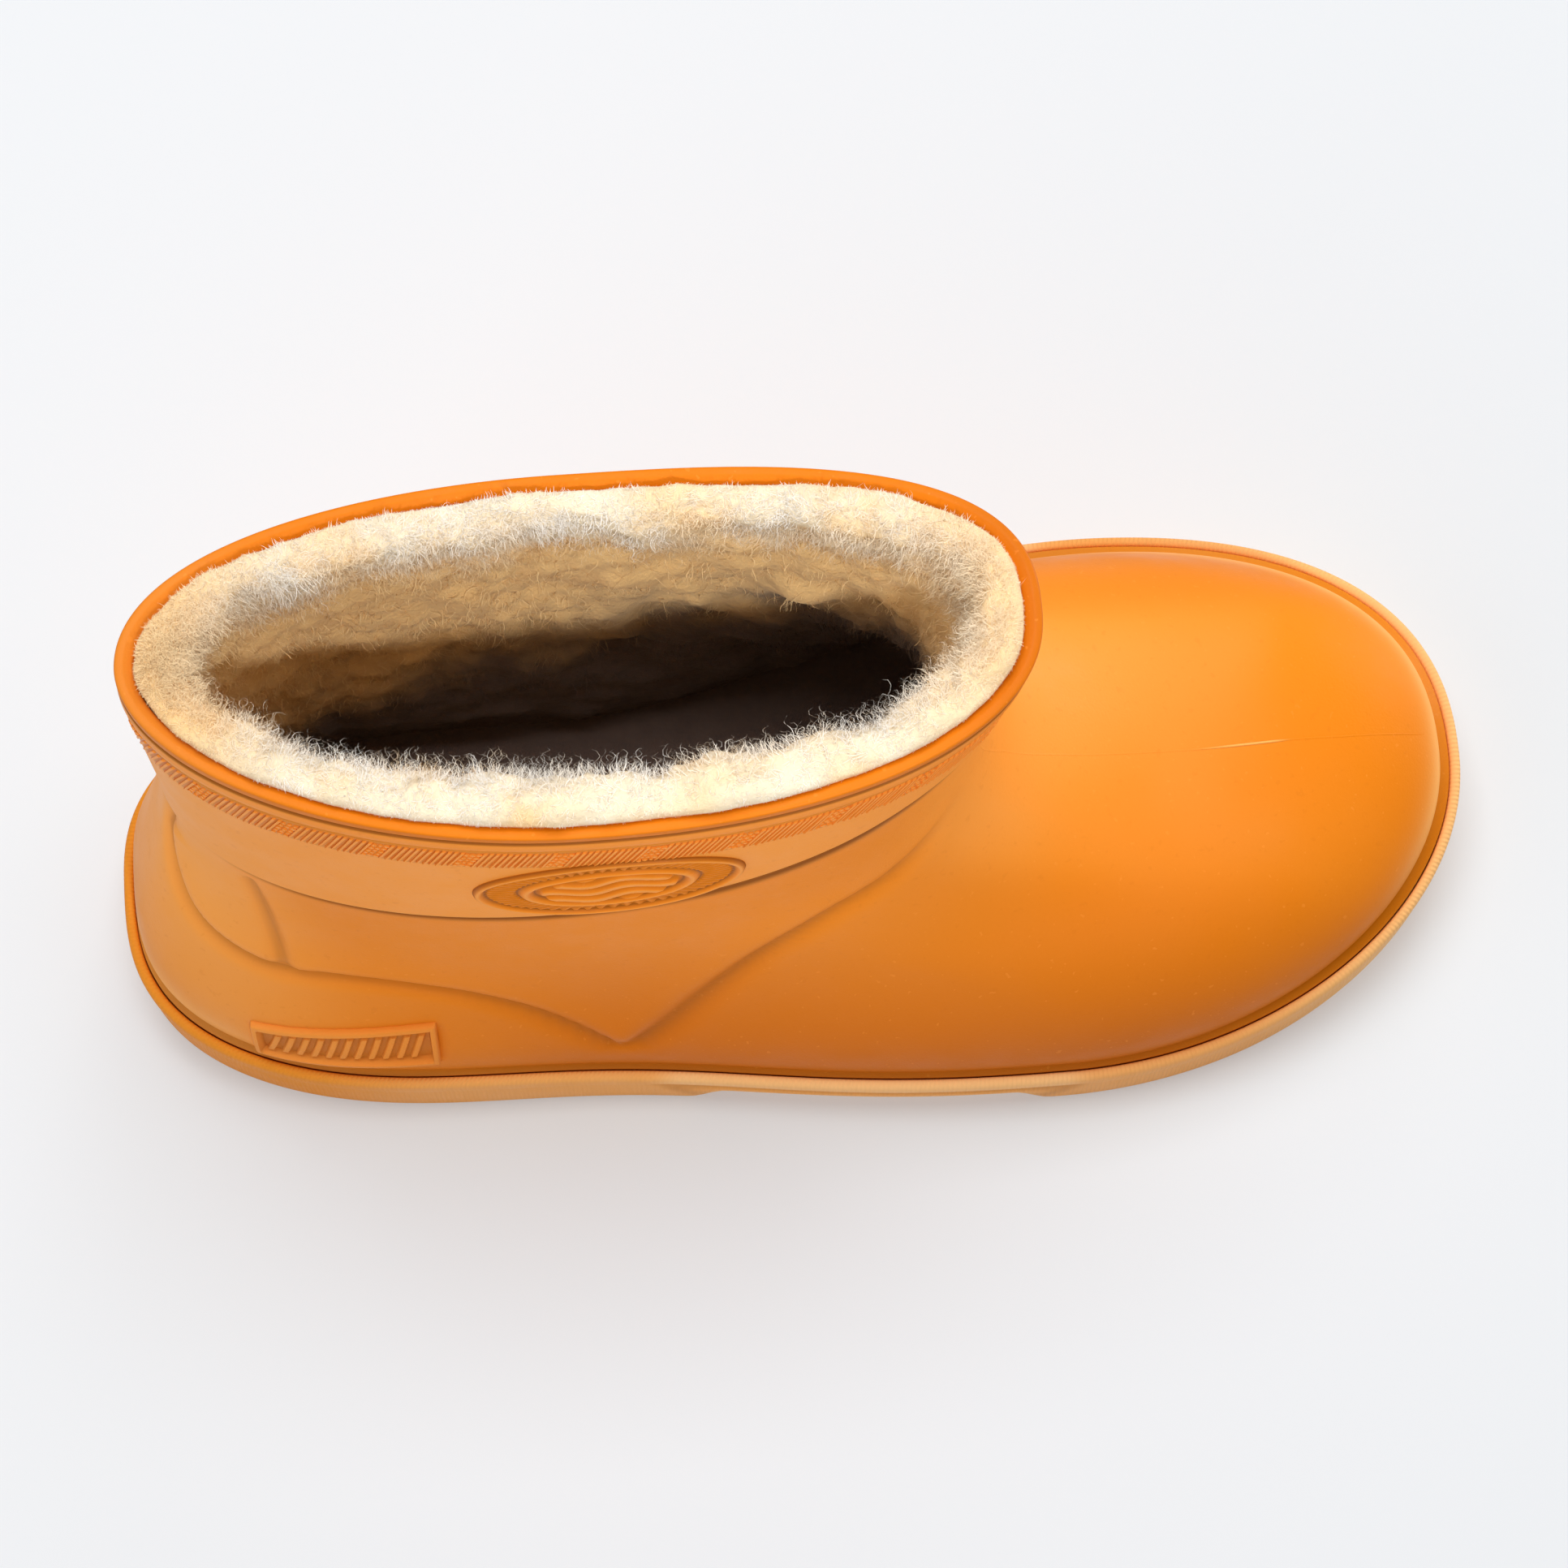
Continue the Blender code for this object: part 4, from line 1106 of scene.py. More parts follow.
def build_upper(look):
    """Skin of the hollow upper, from its flange over creases, panel and collar to the inside."""
    angles = both_sides(half_angles(UPPER_COLUMNS // 2))
    edge = panel_level(angles)
    profile = collar_profile()
    levels = upper_levels(edge, level_below_collar(profile[0, 0]))
    points = last_surface(angles, levels)
    under_panel = 1.0 - smoothstep(*PANEL_STEP, levels - edge)
    relief, groove = panel_relief(angles, levels - edge)
    creases, trough = crease_relief(points, levels)
    toe_edge = toe_edge_share(angles, levels)
    in_plate = smoothstep(0.0, PLATE_RECESS_EDGE, plate_border(points[..., 0], points[..., 2]))
    relief -= PLATE_RECESS * in_plate * (points[..., 1] < 0.0)
    relief += creases * under_panel + TOE_EDGE_RAISE * toe_edge
    rings = list(wall(angles, levels, relief))
    # Painted shade in the channel over the sole, under the panel's edge and in the crease troughs
    channel = channel_share(angles)
    low = 1.0 - smoothstep(*CHANNEL_LEVELS, levels)
    painted_shade = np.maximum(groove, CREASE_SHADE * trough ** 2 * under_panel)
    painted_shade = list(np.maximum(painted_shade, CHANNEL_SHADE[1] * channel * low))
    # Deeper orange on the side walls: painted shade
    deep = list(SIDE_DEEP * smoothstep(*SIDE_TURN, np.abs(np.sin(angles))) * under_panel)
    for drop, raise_ in profile:
        rings.append(wall(angles, level_below_collar(drop), raise_))
        painted_shade.append(np.full(len(angles), collar_shade(drop, raise_)))
        # Painted sheen let through on the beads of the outer side
        bead_pale = COLLAR_NEAR_PALE * near_side(angles) * (drop > COLLAR_RIM_DROP)
        deep.append(collar_deep(drop) * (1.0 - bead_pale))
    rings += [wall(angles, level, -WALL) for level in INNER_LEVELS]
    rings.append(on_floor_of(wall(angles, 0.0, -WALL), GAP))
    painted_shade += [np.zeros(len(angles))] * (len(rings) - len(painted_shade))
    x, y = sole_outline(angles, LIP_INNER_INSET + LIP_GAP)
    flange = np.stack((x, y, np.zeros_like(x)), axis=-1)
    rings += [on_floor_of(flange, GAP), on_floor_of(flange, GAP + FLANGE_SHOWN)]
    painted_shade += [CHANNEL_SHADE[0] * channel] * 2
    quads = ring_quads(len(rings), len(angles), joined=True)
    made = mesh_object("upper_skin", np.reshape(rings, (-1, 3)), [quads], look)
    store(made, "painted_shade", painted_shade)
    store(made, "deep", deep)
    # Painted highlight on the raised toe edge
    store(made, "pale", toe_edge)
    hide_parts("upper")


def build_parting(look):
    """Low flash line down the vamp, with a raised nick that carries a painted highlight."""
    rows = smoothed(resampled(PARTING_ROWS, PARTING_POINTS), PARTING_ROUNDING)
    angle = np.radians(rows[:, 0])
    level = rows[:, 1]
    path = last_surface(angle, level)
    normal = outward(angle, level)
    side = np.cross(normal, unit(np.gradient(path, axis=0)))
    nick = smoothstep(*NICK_START, path[:, 0]) * (1.0 - smoothstep(*NICK_END, path[:, 0]))
    height = PARTING_HEIGHT + (NICK_HEIGHT - PARTING_HEIGHT) * nick
    width = PARTING_WIDTH * (1.0 + NICK_SWELL * nick)
    lines = []
    for place, rise, sunk in PARTING_PROFILE:
        lines.append(path + side * (place * width)[:, None] + normal * (rise * height - sunk)[:, None])
    rings = np.stack(lines, axis=1)
    count, around = rings.shape[:2]
    ends = np.array((np.arange(around)[::-1], np.arange(around) + (count - 1) * around))
    groups = [ring_quads(count, around), ends]
    made = mesh_object("vamp_parting_line", rings.reshape(-1, 3), groups, look)
    # Painted highlight on the nick
    store(made, "pale", np.repeat(nick, around))


def hatch_blocks(total):
    """Corners, as place along the band and drop, and rise of each bar and lozenge."""
    draw = np.random.default_rng(SEED)
    periods = int(round(total / HATCH_PERIOD))
    period = total / periods
    lean = HATCH_LEAN * 0.5
    corners = []
    rises = []
    for number in range(periods):
        first = number * period
        for bar in range(HATCH_BARS):
            place = first + (bar + 0.5) * HATCH_PITCH
            top = HATCH_DROP[0] + draw.uniform(*HATCH_TOP_SPREAD)
            low = HATCH_DROP[1] + draw.uniform(*HATCH_LOW_SPREAD)
            rises.append(draw.uniform(*HATCH_RISE_SPREAD))
            corners.append((
                (place - lean - HATCH_BAR, low), (place - lean + HATCH_BAR, low - HATCH_SKEW[0]),
                (place + lean + HATCH_BAR, top), (place + lean - HATCH_BAR, top + HATCH_SKEW[1])))
        middle = first + 0.5 * (HATCH_BARS * HATCH_PITCH + period)
        for across in (-HATCH_PITCH, 0.0, HATCH_PITCH):
            for drop in LOZENGE_DROPS:
                size = draw.uniform(*LOZENGE_SIZE)
                place = middle + across + (HATCH_MIDDLE - drop) * LOZENGE_LEAN
                rises.append(draw.uniform(*LOZENGE_RISE))
                corners.append((
                    (place - size, drop), (place, drop + size), (place + size, drop), (place, drop - size)))
    return np.array(corners), np.array(rises)


def build_hatch(look):
    """Slanted bars and small lozenges of the band under the beads."""
    turns = np.linspace(0.0, 2.0 * math.pi, HATCH_STEPS + 1)
    travel = travelled(last_surface(turns, level_below_collar(HATCH_MIDDLE)))
    foot, rises = hatch_blocks(travel[-1])
    middle = foot.mean(axis=1, keepdims=True)
    corners = np.concatenate((foot, middle + (foot - middle) * HATCH_TAPER), axis=1)
    angle = np.interp(corners[..., 0] % travel[-1], travel, turns)
    distance = np.full(angle.shape, HATCH_BASE - HATCH_SUNK)
    distance[:, 4:] = HATCH_BASE + HATCH_HEIGHT * rises[:, None]
    points = wall(angle, level_below_collar(corners[..., 1]), distance).reshape(-1, 3)
    first = np.arange(0, len(points), corners.shape[1])
    quads = (first[:, None, None] + np.array(BLOCK_FACES)).reshape(-1, 4)
    made = mesh_object("collar_hatch", points, [quads], look, sharp=HATCH_SHARP)
    store(made, "deep", np.full(len(points), HATCH_DEEP))
    # Painted highlight on the bars
    store(made, "pale", np.full(len(points), HATCH_PALE))


def sole_half_angles():
    """Angles of one side of the sole, with lines at both walls of each tread pocket."""
    half = half_angles(SOLE_HALF_COLUMNS)
    half_width = GROOVE_WIDTH / 2.0
    walls = np.add.outer((-half_width, half_width), (-GROOVE_WALL, GROOVE_WALL))
    x = np.add.outer(GROOVE_MIDDLES, walls).ravel()
    reach = np.where(x < BALL_X, BALL_X - HEEL_X, TOE_X - BALL_X) - SOLE_ROWS[0][0]
    extra = np.arccos((x - BALL_X) / reach)
    far = np.min(np.abs(half[:, None] - extra), axis=1) > SOLE_ANGLE_GAP
    far[[0, -1]] = True
    return np.sort(np.concatenate((half[far], extra)))


def groove_share(x):
    """1 inside a tread pocket along x, 0 between pockets."""
    gap = np.min([np.abs(x - middle) for middle in GROOVE_MIDDLES], axis=0) - GROOVE_WIDTH / 2.0
    return 1.0 - smoothstep(-GROOVE_WALL, GROOVE_WALL, gap)


def tread_grid(lateral, medial):
    """Underside from the outer to the inner edge, with the pockets pressed in."""
    edges = np.array(TREAD_INSETS)
    middle = np.linspace(0.0, 1.0, TREAD_MIDDLE_COLUMNS + 2)[1:-1]
    width = medial[:, 1] - lateral[:, 1]
    limit = np.minimum(1.0, TREAD_EDGE_LIMIT * width / edges[-1])
    inset = limit[:, None] * edges
    low = lateral[:, 1:2] + inset
    high = medial[:, 1:2] - inset[:, ::-1]
    between = low[:, -1:] + (high[:, :1] - low[:, -1:]) * middle
    y = np.concatenate((low, between, high), axis=1)
    inside = np.zeros(y.shape[1])
    inside[len(edges) - 1:1 - len(edges)] = 1.0
    x = np.repeat(lateral[:, :1], y.shape[1], axis=1)
    pocket = groove_share(x) * inside * (limit == 1.0)[:, None]
    return np.stack((x, y, lateral[:, 2:3] + GROOVE_DEPTH * pocket), axis=-1)


def sole_rows():
    """Loops of the sole's side, evenly spread along its profile."""
    inset = column(SOLE_ROWS, SOLE_COLUMNS, "inset")
    height = SOLE_SIDE * column(SOLE_ROWS, SOLE_COLUMNS, "share") + column(SOLE_ROWS, SOLE_COLUMNS, "rise")
    profile = np.stack((inset, height), axis=1)
    return smoothed(resampled(SOLE_ROWS, SOLE_RING_COUNT, profile), SOLE_ROUNDING)


def build_outsole(look):
    """Skin of the outsole: tread with pockets, side with lip, ledge."""
    angles = both_sides(sole_half_angles())
    columns = len(angles)
    base_x = sole_outline(angles)[0]
    tread = tread_height(base_x)
    rings = []
    shade = []
    pale = []
    for inset, arch_inset, share, rise in sole_rows():
        under_arch = arch(base_x, ARCH_SCOOP * share)
        x, y = sole_outline(angles, inset + arch_inset * under_arch)
        lip = rim_height(x) - LIP_HEIGHT
        rings.append(np.stack((x, y, tread + share * (lip - tread) + rise), axis=-1))
        # Painted shade in the arch's groove and scoops, painted highlight on its ridges
        sunk = smoothstep(*SUNK_SHARE, share) * (1.0 - smoothstep(*SUNK_RISE, rise))
        scoop = 4.0 * under_arch * (1.0 - under_arch) * (1.0 - smoothstep(0.0, 1.0, rise * share))
        shade.append(np.maximum(ARCH_SHADE * sunk * under_arch, SCOOP_SHADE * scoop))
        lower_edge = smoothstep(*LOWER_EDGE_RISE, rise) * (1.0 - smoothstep(*LOWER_EDGE_SHARE, share))
        lip_edge = smoothstep(*LIP_EDGE_RISE, rise) * smoothstep(*LIP_EDGE_SHARE, share)
        pale.append(ARCH_PALE * max(lower_edge, lip_edge) * under_arch)
    rings = np.array(rings)
    lateral, medial = side_columns(columns)
    grid = tread_grid(rings[0][lateral], rings[0][medial])
    numbers = len(rings) * columns + np.arange(grid[..., 0].size).reshape(grid.shape[:2])
    numbers[:, 0] = lateral
    numbers[:, -1] = medial
    numbers[[0, -1], :] = lateral[[0, -1], None]
    strips = np.stack((numbers[:-1, :-1], numbers[1:, :-1], numbers[1:, 1:], numbers[:-1, 1:]), axis=-1)
    strips = strips.reshape(-1, 4)
    ends = (strips[:, 0] == strips[:, 3]) | (strips[:, 1] == strips[:, 2])
    top = (len(rings) - 1) * columns
    groups = [ring_quads(len(rings), columns), strips[~ends], fan(strips[ends])]
    groups += lid_faces(top + lateral, top + medial)
    points = np.concatenate((rings.reshape(-1, 3), grid.reshape(-1, 3)))
    made = mesh_object("outsole_skin", points, groups, look, sharp=SOLE_SHARP)
    side = rings[SOLE_SIDE_RING][:, :2]
    lengths = travelled(np.concatenate((side, side[:1])))
    store(made, "round_mm", ring_corners(lengths, len(rings) - 1), "CORNER")
    store(made, "shade", shade)
    store(made, "pale", pale)
    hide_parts("outsole")


def fleece_rings(angles):
    """Rings of the pile before it is roughened: outside, crest, inside down to the insole."""
    depth = WALL + GAP
    start = level_below_collar(FLEECE_TOP_DROP)
    rings = [wall(angles, level_below_collar(drop), -depth) for drop in (FLEECE_BACK_DROP, FLEECE_TOP_DROP)]
    near = smoothstep(*FLEECE_NEAR_TURN, -np.sin(angles))
    low = wall(angles, COLLAR_LEVEL, FLEECE_RIM_EDGE[0] + (FLEECE_RIM_EDGE[1] - FLEECE_RIM_EDGE[0]) * near)
    low[:, 2] += FLEECE_RIM_GAP
    inner = wall(angles, start, -depth - FLEECE - FLEECE_SPLAY)
    for turn in np.linspace(0.0, math.pi, FLEECE_CREST_RINGS):
        ring = low + (inner - low) * (0.5 - 0.5 * math.cos(turn))
        ring[:, 2] += FLEECE_CREST * math.sin(turn) ** FLEECE_CREST_POWER
        rings.append(ring)
    for level in np.linspace(start, FLEECE_LOW_LEVEL, FLEECE_WALL_RINGS + 1)[1:]:
        fall = (COLLAR_LEVEL - level) / (COLLAR_LEVEL - FLEECE_SPLAY_LEVEL)
        rings.append(wall(angles, level, -depth - FLEECE - FLEECE_SPLAY * max(0.0, 1.0 - fall)))
    rings.append(on_floor_of(wall(angles, 0.0, -depth - FLEECE), GAP))
    return np.array(rings)


def grid_normals(rings):
    """Unit normals of a grid of closed rings."""
    round_ = np.roll(rings, -1, axis=1) - np.roll(rings, 1, axis=1)
    return unit(np.cross(round_, np.gradient(rings, axis=0)))


def build_fleece(look):
    """Roughened body of the pile, with its rings and their normals for the fibres."""
    angles = both_sides(half_angles(FLEECE_COLUMNS // 2))
    rings = fleece_rings(angles)
    lumps = sum(cloud(rings, size, shift) * height for size, height, shift in FLEECE_LUMPS)
    ease_in, ease_out = FLEECE_EASE_RINGS
    weight = np.ones(len(rings))
    weight[:FLEECE_BACK_RINGS] = 0.0
    weight[FLEECE_BACK_RINGS:FLEECE_BACK_RINGS + ease_in] = np.linspace(FLEECE_EASE_START, 1.0, ease_in)
    weight[-ease_out:] = np.linspace(1.0, 0.0, ease_out)
    rough = rings + grid_normals(rings) * (lumps * weight[:, None])[..., None]
    back = [on_floor_of(wall(angles, 0.0, -WALL - GAP), GAP)]
    back += [wall(angles, level, -WALL - GAP) for level in INNER_LEVELS[:0:-1]]
    every = np.concatenate((rough, back))
    quads = ring_quads(len(every), len(angles), joined=True)
    made = mesh_object("fleece_pile", every.reshape(-1, 3), [quads[:, ::-1]], look)
    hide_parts("fleece_lining")
    return rough, grid_normals(rough)


def pick_roots(rough, normals, kind, draw):
    """Random places on the pile between two rings: position, normal and share of the full length."""
    columns = rough.shape[1]
    row = draw.uniform(*kind["rings"], kind["count"])
    place = draw.uniform(0.0, columns, kind["count"])
    reach = STRAND_RIM_SHARE + (1.0 - STRAND_RIM_SHARE) * smoothstep(*STRAND_RIM_RINGS, row)
    low = np.clip(row.astype(int), 0, len(rough) - 2)
    left = place.astype(int) % columns
    right = (left + 1) % columns
    up = (row - low)[:, None]
    along = (place - np.floor(place))[:, None]
    found = []
    for grid in (rough, normals):
        near = grid[low, left] * (1.0 - along) + grid[low, right] * along
        far = grid[low + 1, left] * (1.0 - along) + grid[low + 1, right] * along
        found.append(near * (1.0 - up) + far * up)
    return found[0], unit(found[1]), reach


def lock_tips(roots, normals, lock_count, reach, draw):
    """For each fibre, the tip shared by the fibres of its lock."""
    chosen = draw.choice(len(roots), lock_count, replace=False)
    centres = roots[chosen]
    scatter = draw.normal(size=(lock_count, 3)) * LOCK_SCATTER * reach
    tips = centres + normals[chosen] * reach + scatter
    nearest = [np.argmin(((centres - root) ** 2).sum(axis=1)) for root in roots]
    return tips[nearest]


def strand_paths(kind, roots, normals, reach, draw):
    """Curly lines of points from the roots, gathered in locks, with the points of a fibre along axis 0."""
    count = len(roots)
    lengths = draw.uniform(*kind["length"], count) * reach
    first = unit(np.cross(normals, draw.normal(size=(count, 3))))
    second = np.cross(normals, first)
    upright = kind["upright"] * draw.uniform(*STRAND_UPRIGHT_SPREAD, count)
    lying = np.sqrt(np.maximum(STRAND_LEAST_LYING, 1.0 - upright ** 2))
    tips = lock_tips(roots, normals, int(count / kind["lock"]), kind["length"][1] * LOCK_REACH, draw)
    phase = draw.uniform(0.0, 2.0 * math.pi, count)
    spin = draw.uniform(*kind["turns"], count) * 2.0 * math.pi
    spin *= np.where(draw.uniform(size=count) < 0.5, -1.0, 1.0)
    radius = kind["curl"] * draw.uniform(*STRAND_CURL_SPREAD, count) * reach
    path = []
    for share in np.linspace(0.0, 1.0, kind["points"]):
        turn = phase + spin * share
        swing = radius * share ** STRAND_SWING_POWER
        point = roots - normals * kind["sunk"]
        point = point + normals * (lengths * upright * share)[:, None]
        point = point + first * (lengths * lying * share ** STRAND_LYING_POWER)[:, None]
        point = point + (tips - point) * (kind["gather"] * reach * share ** STRAND_GATHER_POWER)[:, None]
        point = point + first * (swing * (np.cos(turn) - np.cos(phase)))[:, None]
        point = point + second * (swing * (np.sin(turn) - np.sin(phase)))[:, None]
        path.append(point)
    return np.array(path)


def build_strands(kind, look, rough, pile_normals, draw):
    """One layer of tapered fibres, as one joined mesh of narrow strips."""
    roots, normals, reach = pick_roots(rough, pile_normals, kind, draw)
    path = strand_paths(kind, roots, normals, reach, draw)
    points_each, count = path.shape[:2]
    across = unit(np.cross(np.gradient(path, axis=0), normals))
    half = 0.5 * kind["width"] * draw.uniform(*STRAND_WIDTH_SPREAD, count)
    taper = 1.0 - STRAND_TAPER * np.linspace(0.0, 1.0, points_each) ** STRAND_TAPER_POWER
    offset = across * (half * taper[:, None])[..., None]
    body = np.stack(((path + offset)[:-1], (path - offset)[:-1]), axis=2)
    body = np.moveaxis(body, 0, 1).reshape(count, -1, 3)
    every = np.concatenate((body, path[-1][:, None, :]), axis=1)
    size = every.shape[1]
    start = (np.arange(count) * size)[:, None]
    quads = [start + 2 * index + np.array((0, 1, 3, 2)) for index in range(points_each - 2)]
    tip = start + np.arange(size - 3, size)
    made = mesh_object(kind["name"], every.reshape(-1, 3), [np.concatenate(quads), tip], look)


def build_insole(look):
    """Felt insole, softly domed at its edge."""
    angles = both_sides(half_angles(INSOLE_HALF_COLUMNS))
    depth = WALL + GAP + FLEECE - INSOLE_UNDER_PILE
    rings = []
    for inset, below in INSOLE_ROWS:
        rings.append(on_floor_of(wall(angles, 0.0, -depth - inset), GAP + INSOLE - below))
    columns = len(angles)
    lateral, medial = side_columns(columns)
    top = (len(rings) - 1) * columns
    groups = [ring_quads(len(rings), columns)] + lid_faces(top + lateral, top + medial)
    groups += [faces[:, ::-1] for faces in lid_faces(lateral, medial)]
    made = mesh_object("insole_felt", np.reshape(rings, (-1, 3)), groups, look, sharp=INSOLE_SHARP)
    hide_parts("insole")


def medallion_relief(share, turn, x, z):
    """Height of the medallion: rings, ribbed border and wave ribs in the field."""
    rows = np.array(MEDALLION_ROWS)
    rings = smoothed(np.interp(share[:, :1], rows[:, 0], rows[:, 1]), 1)
    low, high = MEDALLION_RIB_BAND
    band = smoothstep(low - MEDALLION_RIB_EASE, low, share)
    band = band * (1.0 - smoothstep(high, high + MEDALLION_RIB_EASE, share))
    rib = ridges(MEDALLION_RIBS * turn + MEDALLION_RIB_LEAN * share, MEDALLION_RIB_STEEP)
    swing = z - MEDALLION_WAVE_SWING * np.sin(x * MEDALLION_WAVE_TURN)
    wave = ridges(swing * 2.0 * math.pi / MEDALLION_WAVE_PITCH + math.pi / 2.0, MEDALLION_WAVE_STEEP)
    field = 1.0 - smoothstep(*MEDALLION_WAVE_FIELD, share)
    return rings + MEDALLION_RIB_HEIGHT * rib * band + MEDALLION_WAVE_HEIGHT * wave * field


def build_medallion(look):
    """Oval with two rings, a ribbed border and plain wave ribs in its field."""
    sectors = np.linspace(0.0, 2.0 * math.pi, MEDALLION_SECTORS, endpoint=False)
    share, turn = np.meshgrid(np.linspace(MEDALLION_HUB, 1.0, MEDALLION_RINGS), sectors, indexing="ij")
    x = 0.5 * MEDALLION_LENGTH * share * np.cos(turn)
    z = 0.5 * MEDALLION_HEIGHT * share * np.sin(turn)
    distance = medallion_relief(share, turn, x, z)
    tilted_x = x * math.cos(MEDALLION_TILT) - z * math.sin(MEDALLION_TILT)
    tilted_z = x * math.sin(MEDALLION_TILT) + z * math.cos(MEDALLION_TILT)
    angle, level = side_place(MEDALLION_X + tilted_x, MEDALLION_Z + tilted_z)
    top = wall(angle, level, PANEL_RAISE + GAP + distance)
    under = wall(angle[-1], level[-1], PANEL_RAISE - MEDALLION_SUNK)
    hub_place = side_place(np.array((MEDALLION_X,)), np.array((MEDALLION_Z,)))
    hub = wall(*hub_place, PANEL_RAISE + GAP + distance[0].mean())
    base = wall(*hub_place, PANEL_RAISE - MEDALLION_SUNK)
    points = np.concatenate((top.reshape(-1, 3), under, hub, base))
    here = np.arange(MEDALLION_SECTORS)
    after = (here + 1) % MEDALLION_SECTORS
    last = MEDALLION_RINGS * MEDALLION_SECTORS
    hub_index = np.full_like(here, len(points) - 2)
    lid = np.stack((here, after, hub_index), axis=-1)
    floor = np.stack((last + after, last + here, hub_index + 1), axis=-1)
    quads = ring_quads(MEDALLION_RINGS + 1, MEDALLION_SECTORS)[:, ::-1]
    made = mesh_object("medallion_oval", points, [quads, lid, floor], look)
    # Painted shade in the recesses and at the rings' feet, painted highlight on the crests
    feet = np.max([bell(share, foot, MEDALLION_FOOT_WIDTH) for foot in MEDALLION_FEET], axis=0)
    sunk = MEDALLION_SHADE * (1.0 - smoothstep(*MEDALLION_SHADE_RAISE, distance))
    store(made, "painted_shade", np.maximum(sunk, MEDALLION_FOOT_SHADE * feet))
    store(made, "deep", np.full(len(points), MEDALLION_DEEP))
    store(made, "pale", MEDALLION_PALE * smoothstep(*MEDALLION_PALE_RAISE, distance))
    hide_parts("side_medallion")


def plate_relief(border, along, height):
    """Height of the plate: frame, sunk field and plain slanted ribs."""
    frame = smoothstep(0.0, PLATE_EDGE, border)
    frame = frame * (1.0 - smoothstep(PLATE_FRAME, PLATE_FRAME + PLATE_FRAME_EASE, border))
    field = PLATE_FIELD * smoothstep(0.0, PLATE_FRAME, border)
    margin = PLATE_FRAME + PLATE_RIB_MARGIN
    length = PLATE_X[1] - PLATE_X[0] - 2.0 * margin
    place = (along - margin - PLATE_RIB_LEAN * height) / length * PLATE_RIBS
    gap = np.abs(place - np.floor(place) - 0.5)
    rib = (1.0 - smoothstep(*PLATE_RIB_SIDE, gap)) * (1.0 - smoothstep(*PLATE_RIB_END, np.abs(height)))
    rib = rib * ((place > 0.0) & (place < PLATE_RIBS))
    return field + (PLATE_RAISE - field) * frame + PLATE_RIB_HEIGHT * rib


def build_plate(look):
    """Framed plate with plain slanted ribs in its field."""
    rows, columns = PLATE_GRID
    share, across = np.meshgrid(np.linspace(0.0, 1.0, rows), np.linspace(-0.5, 0.5, columns), indexing="ij")
    along = share * (PLATE_X[1] - PLATE_X[0])
    height = across * PLATE_HEIGHT
    x = PLATE_X[0] + along
    z = PLATE_Z[0] + (PLATE_Z[1] - PLATE_Z[0]) * share + height
    border = plate_border(x, z)
    raise_ = plate_relief(border, along, height)
    spot = side_place(x, z)
    top = wall(*spot, GAP + raise_)
    under = wall(*spot, PLATE_UNDER_SHARE * PLATE_FIELD * smoothstep(0.0, PLATE_FRAME, border) - PLATE_SUNK)
    first = rows * columns
    numbers = np.arange(first).reshape(rows, columns)
    edge = np.concatenate((numbers[:-1, 0], numbers[-1, :-1], numbers[:0:-1, -1], numbers[0, :0:-1]))
    after = np.roll(edge, -1)
    side = np.stack((edge, after, after + first, edge + first), axis=-1)
    groups = [grid_quads(rows, columns), grid_quads(rows, columns, first)[:, ::-1], side]
    points = np.concatenate((top, under)).reshape(-1, 3)
    made = mesh_object("heel_plate_ribbed", points, groups, look, sharp=PLATE_SHARP)
    # Painted shade in the sunk field
    store(made, "painted_shade", PLATE_SHADE * (1.0 - smoothstep(PLATE_FIELD, PLATE_FIELD + PLATE_SHADE_RISE, raise_)))
    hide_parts("heel_plate")


def sole_look():
    """Pale sole rubber with fine upright ribs round its side."""
    look = Look("sole_rubber")
    colour = look.blend(look.flecks(*SOLE_PATCHES), SOLE_TAN, SOLE_WORN)
    colour = look.blend(look.zone(*SOLE_BACK), colour, SOLE_HEEL)
    colour = look.blend(look.zone(*SOLE_FRONT), colour, SOLE_TOE)
    # Painted highlights on the arch's ridges, painted shade in its groove and at the foot of the sole
    colour = look.blend(look.stored("pale"), colour, SOLE_PALE)
    shade = look.math("MAXIMUM", look.zone(*SOLE_LOW), look.stored("shade"))
    colour = look.blend(shade, colour, SOLE_TAN_DEEP)
    wave = look.math("SINE", look.math("MULTIPLY", look.stored("round_mm"), 2.0 * math.pi / SOLE_RIB_PITCH))
    grain = look.grain(*SOLE_GRAIN, look.bump(wave, *SOLE_RIB_BUMP))
    look.set(base_color=colour, roughness=look.flecks(*SOLE_GLOSS))
    return look.set(normal=grain, specular_ior_level=SOLE_SPECULAR)


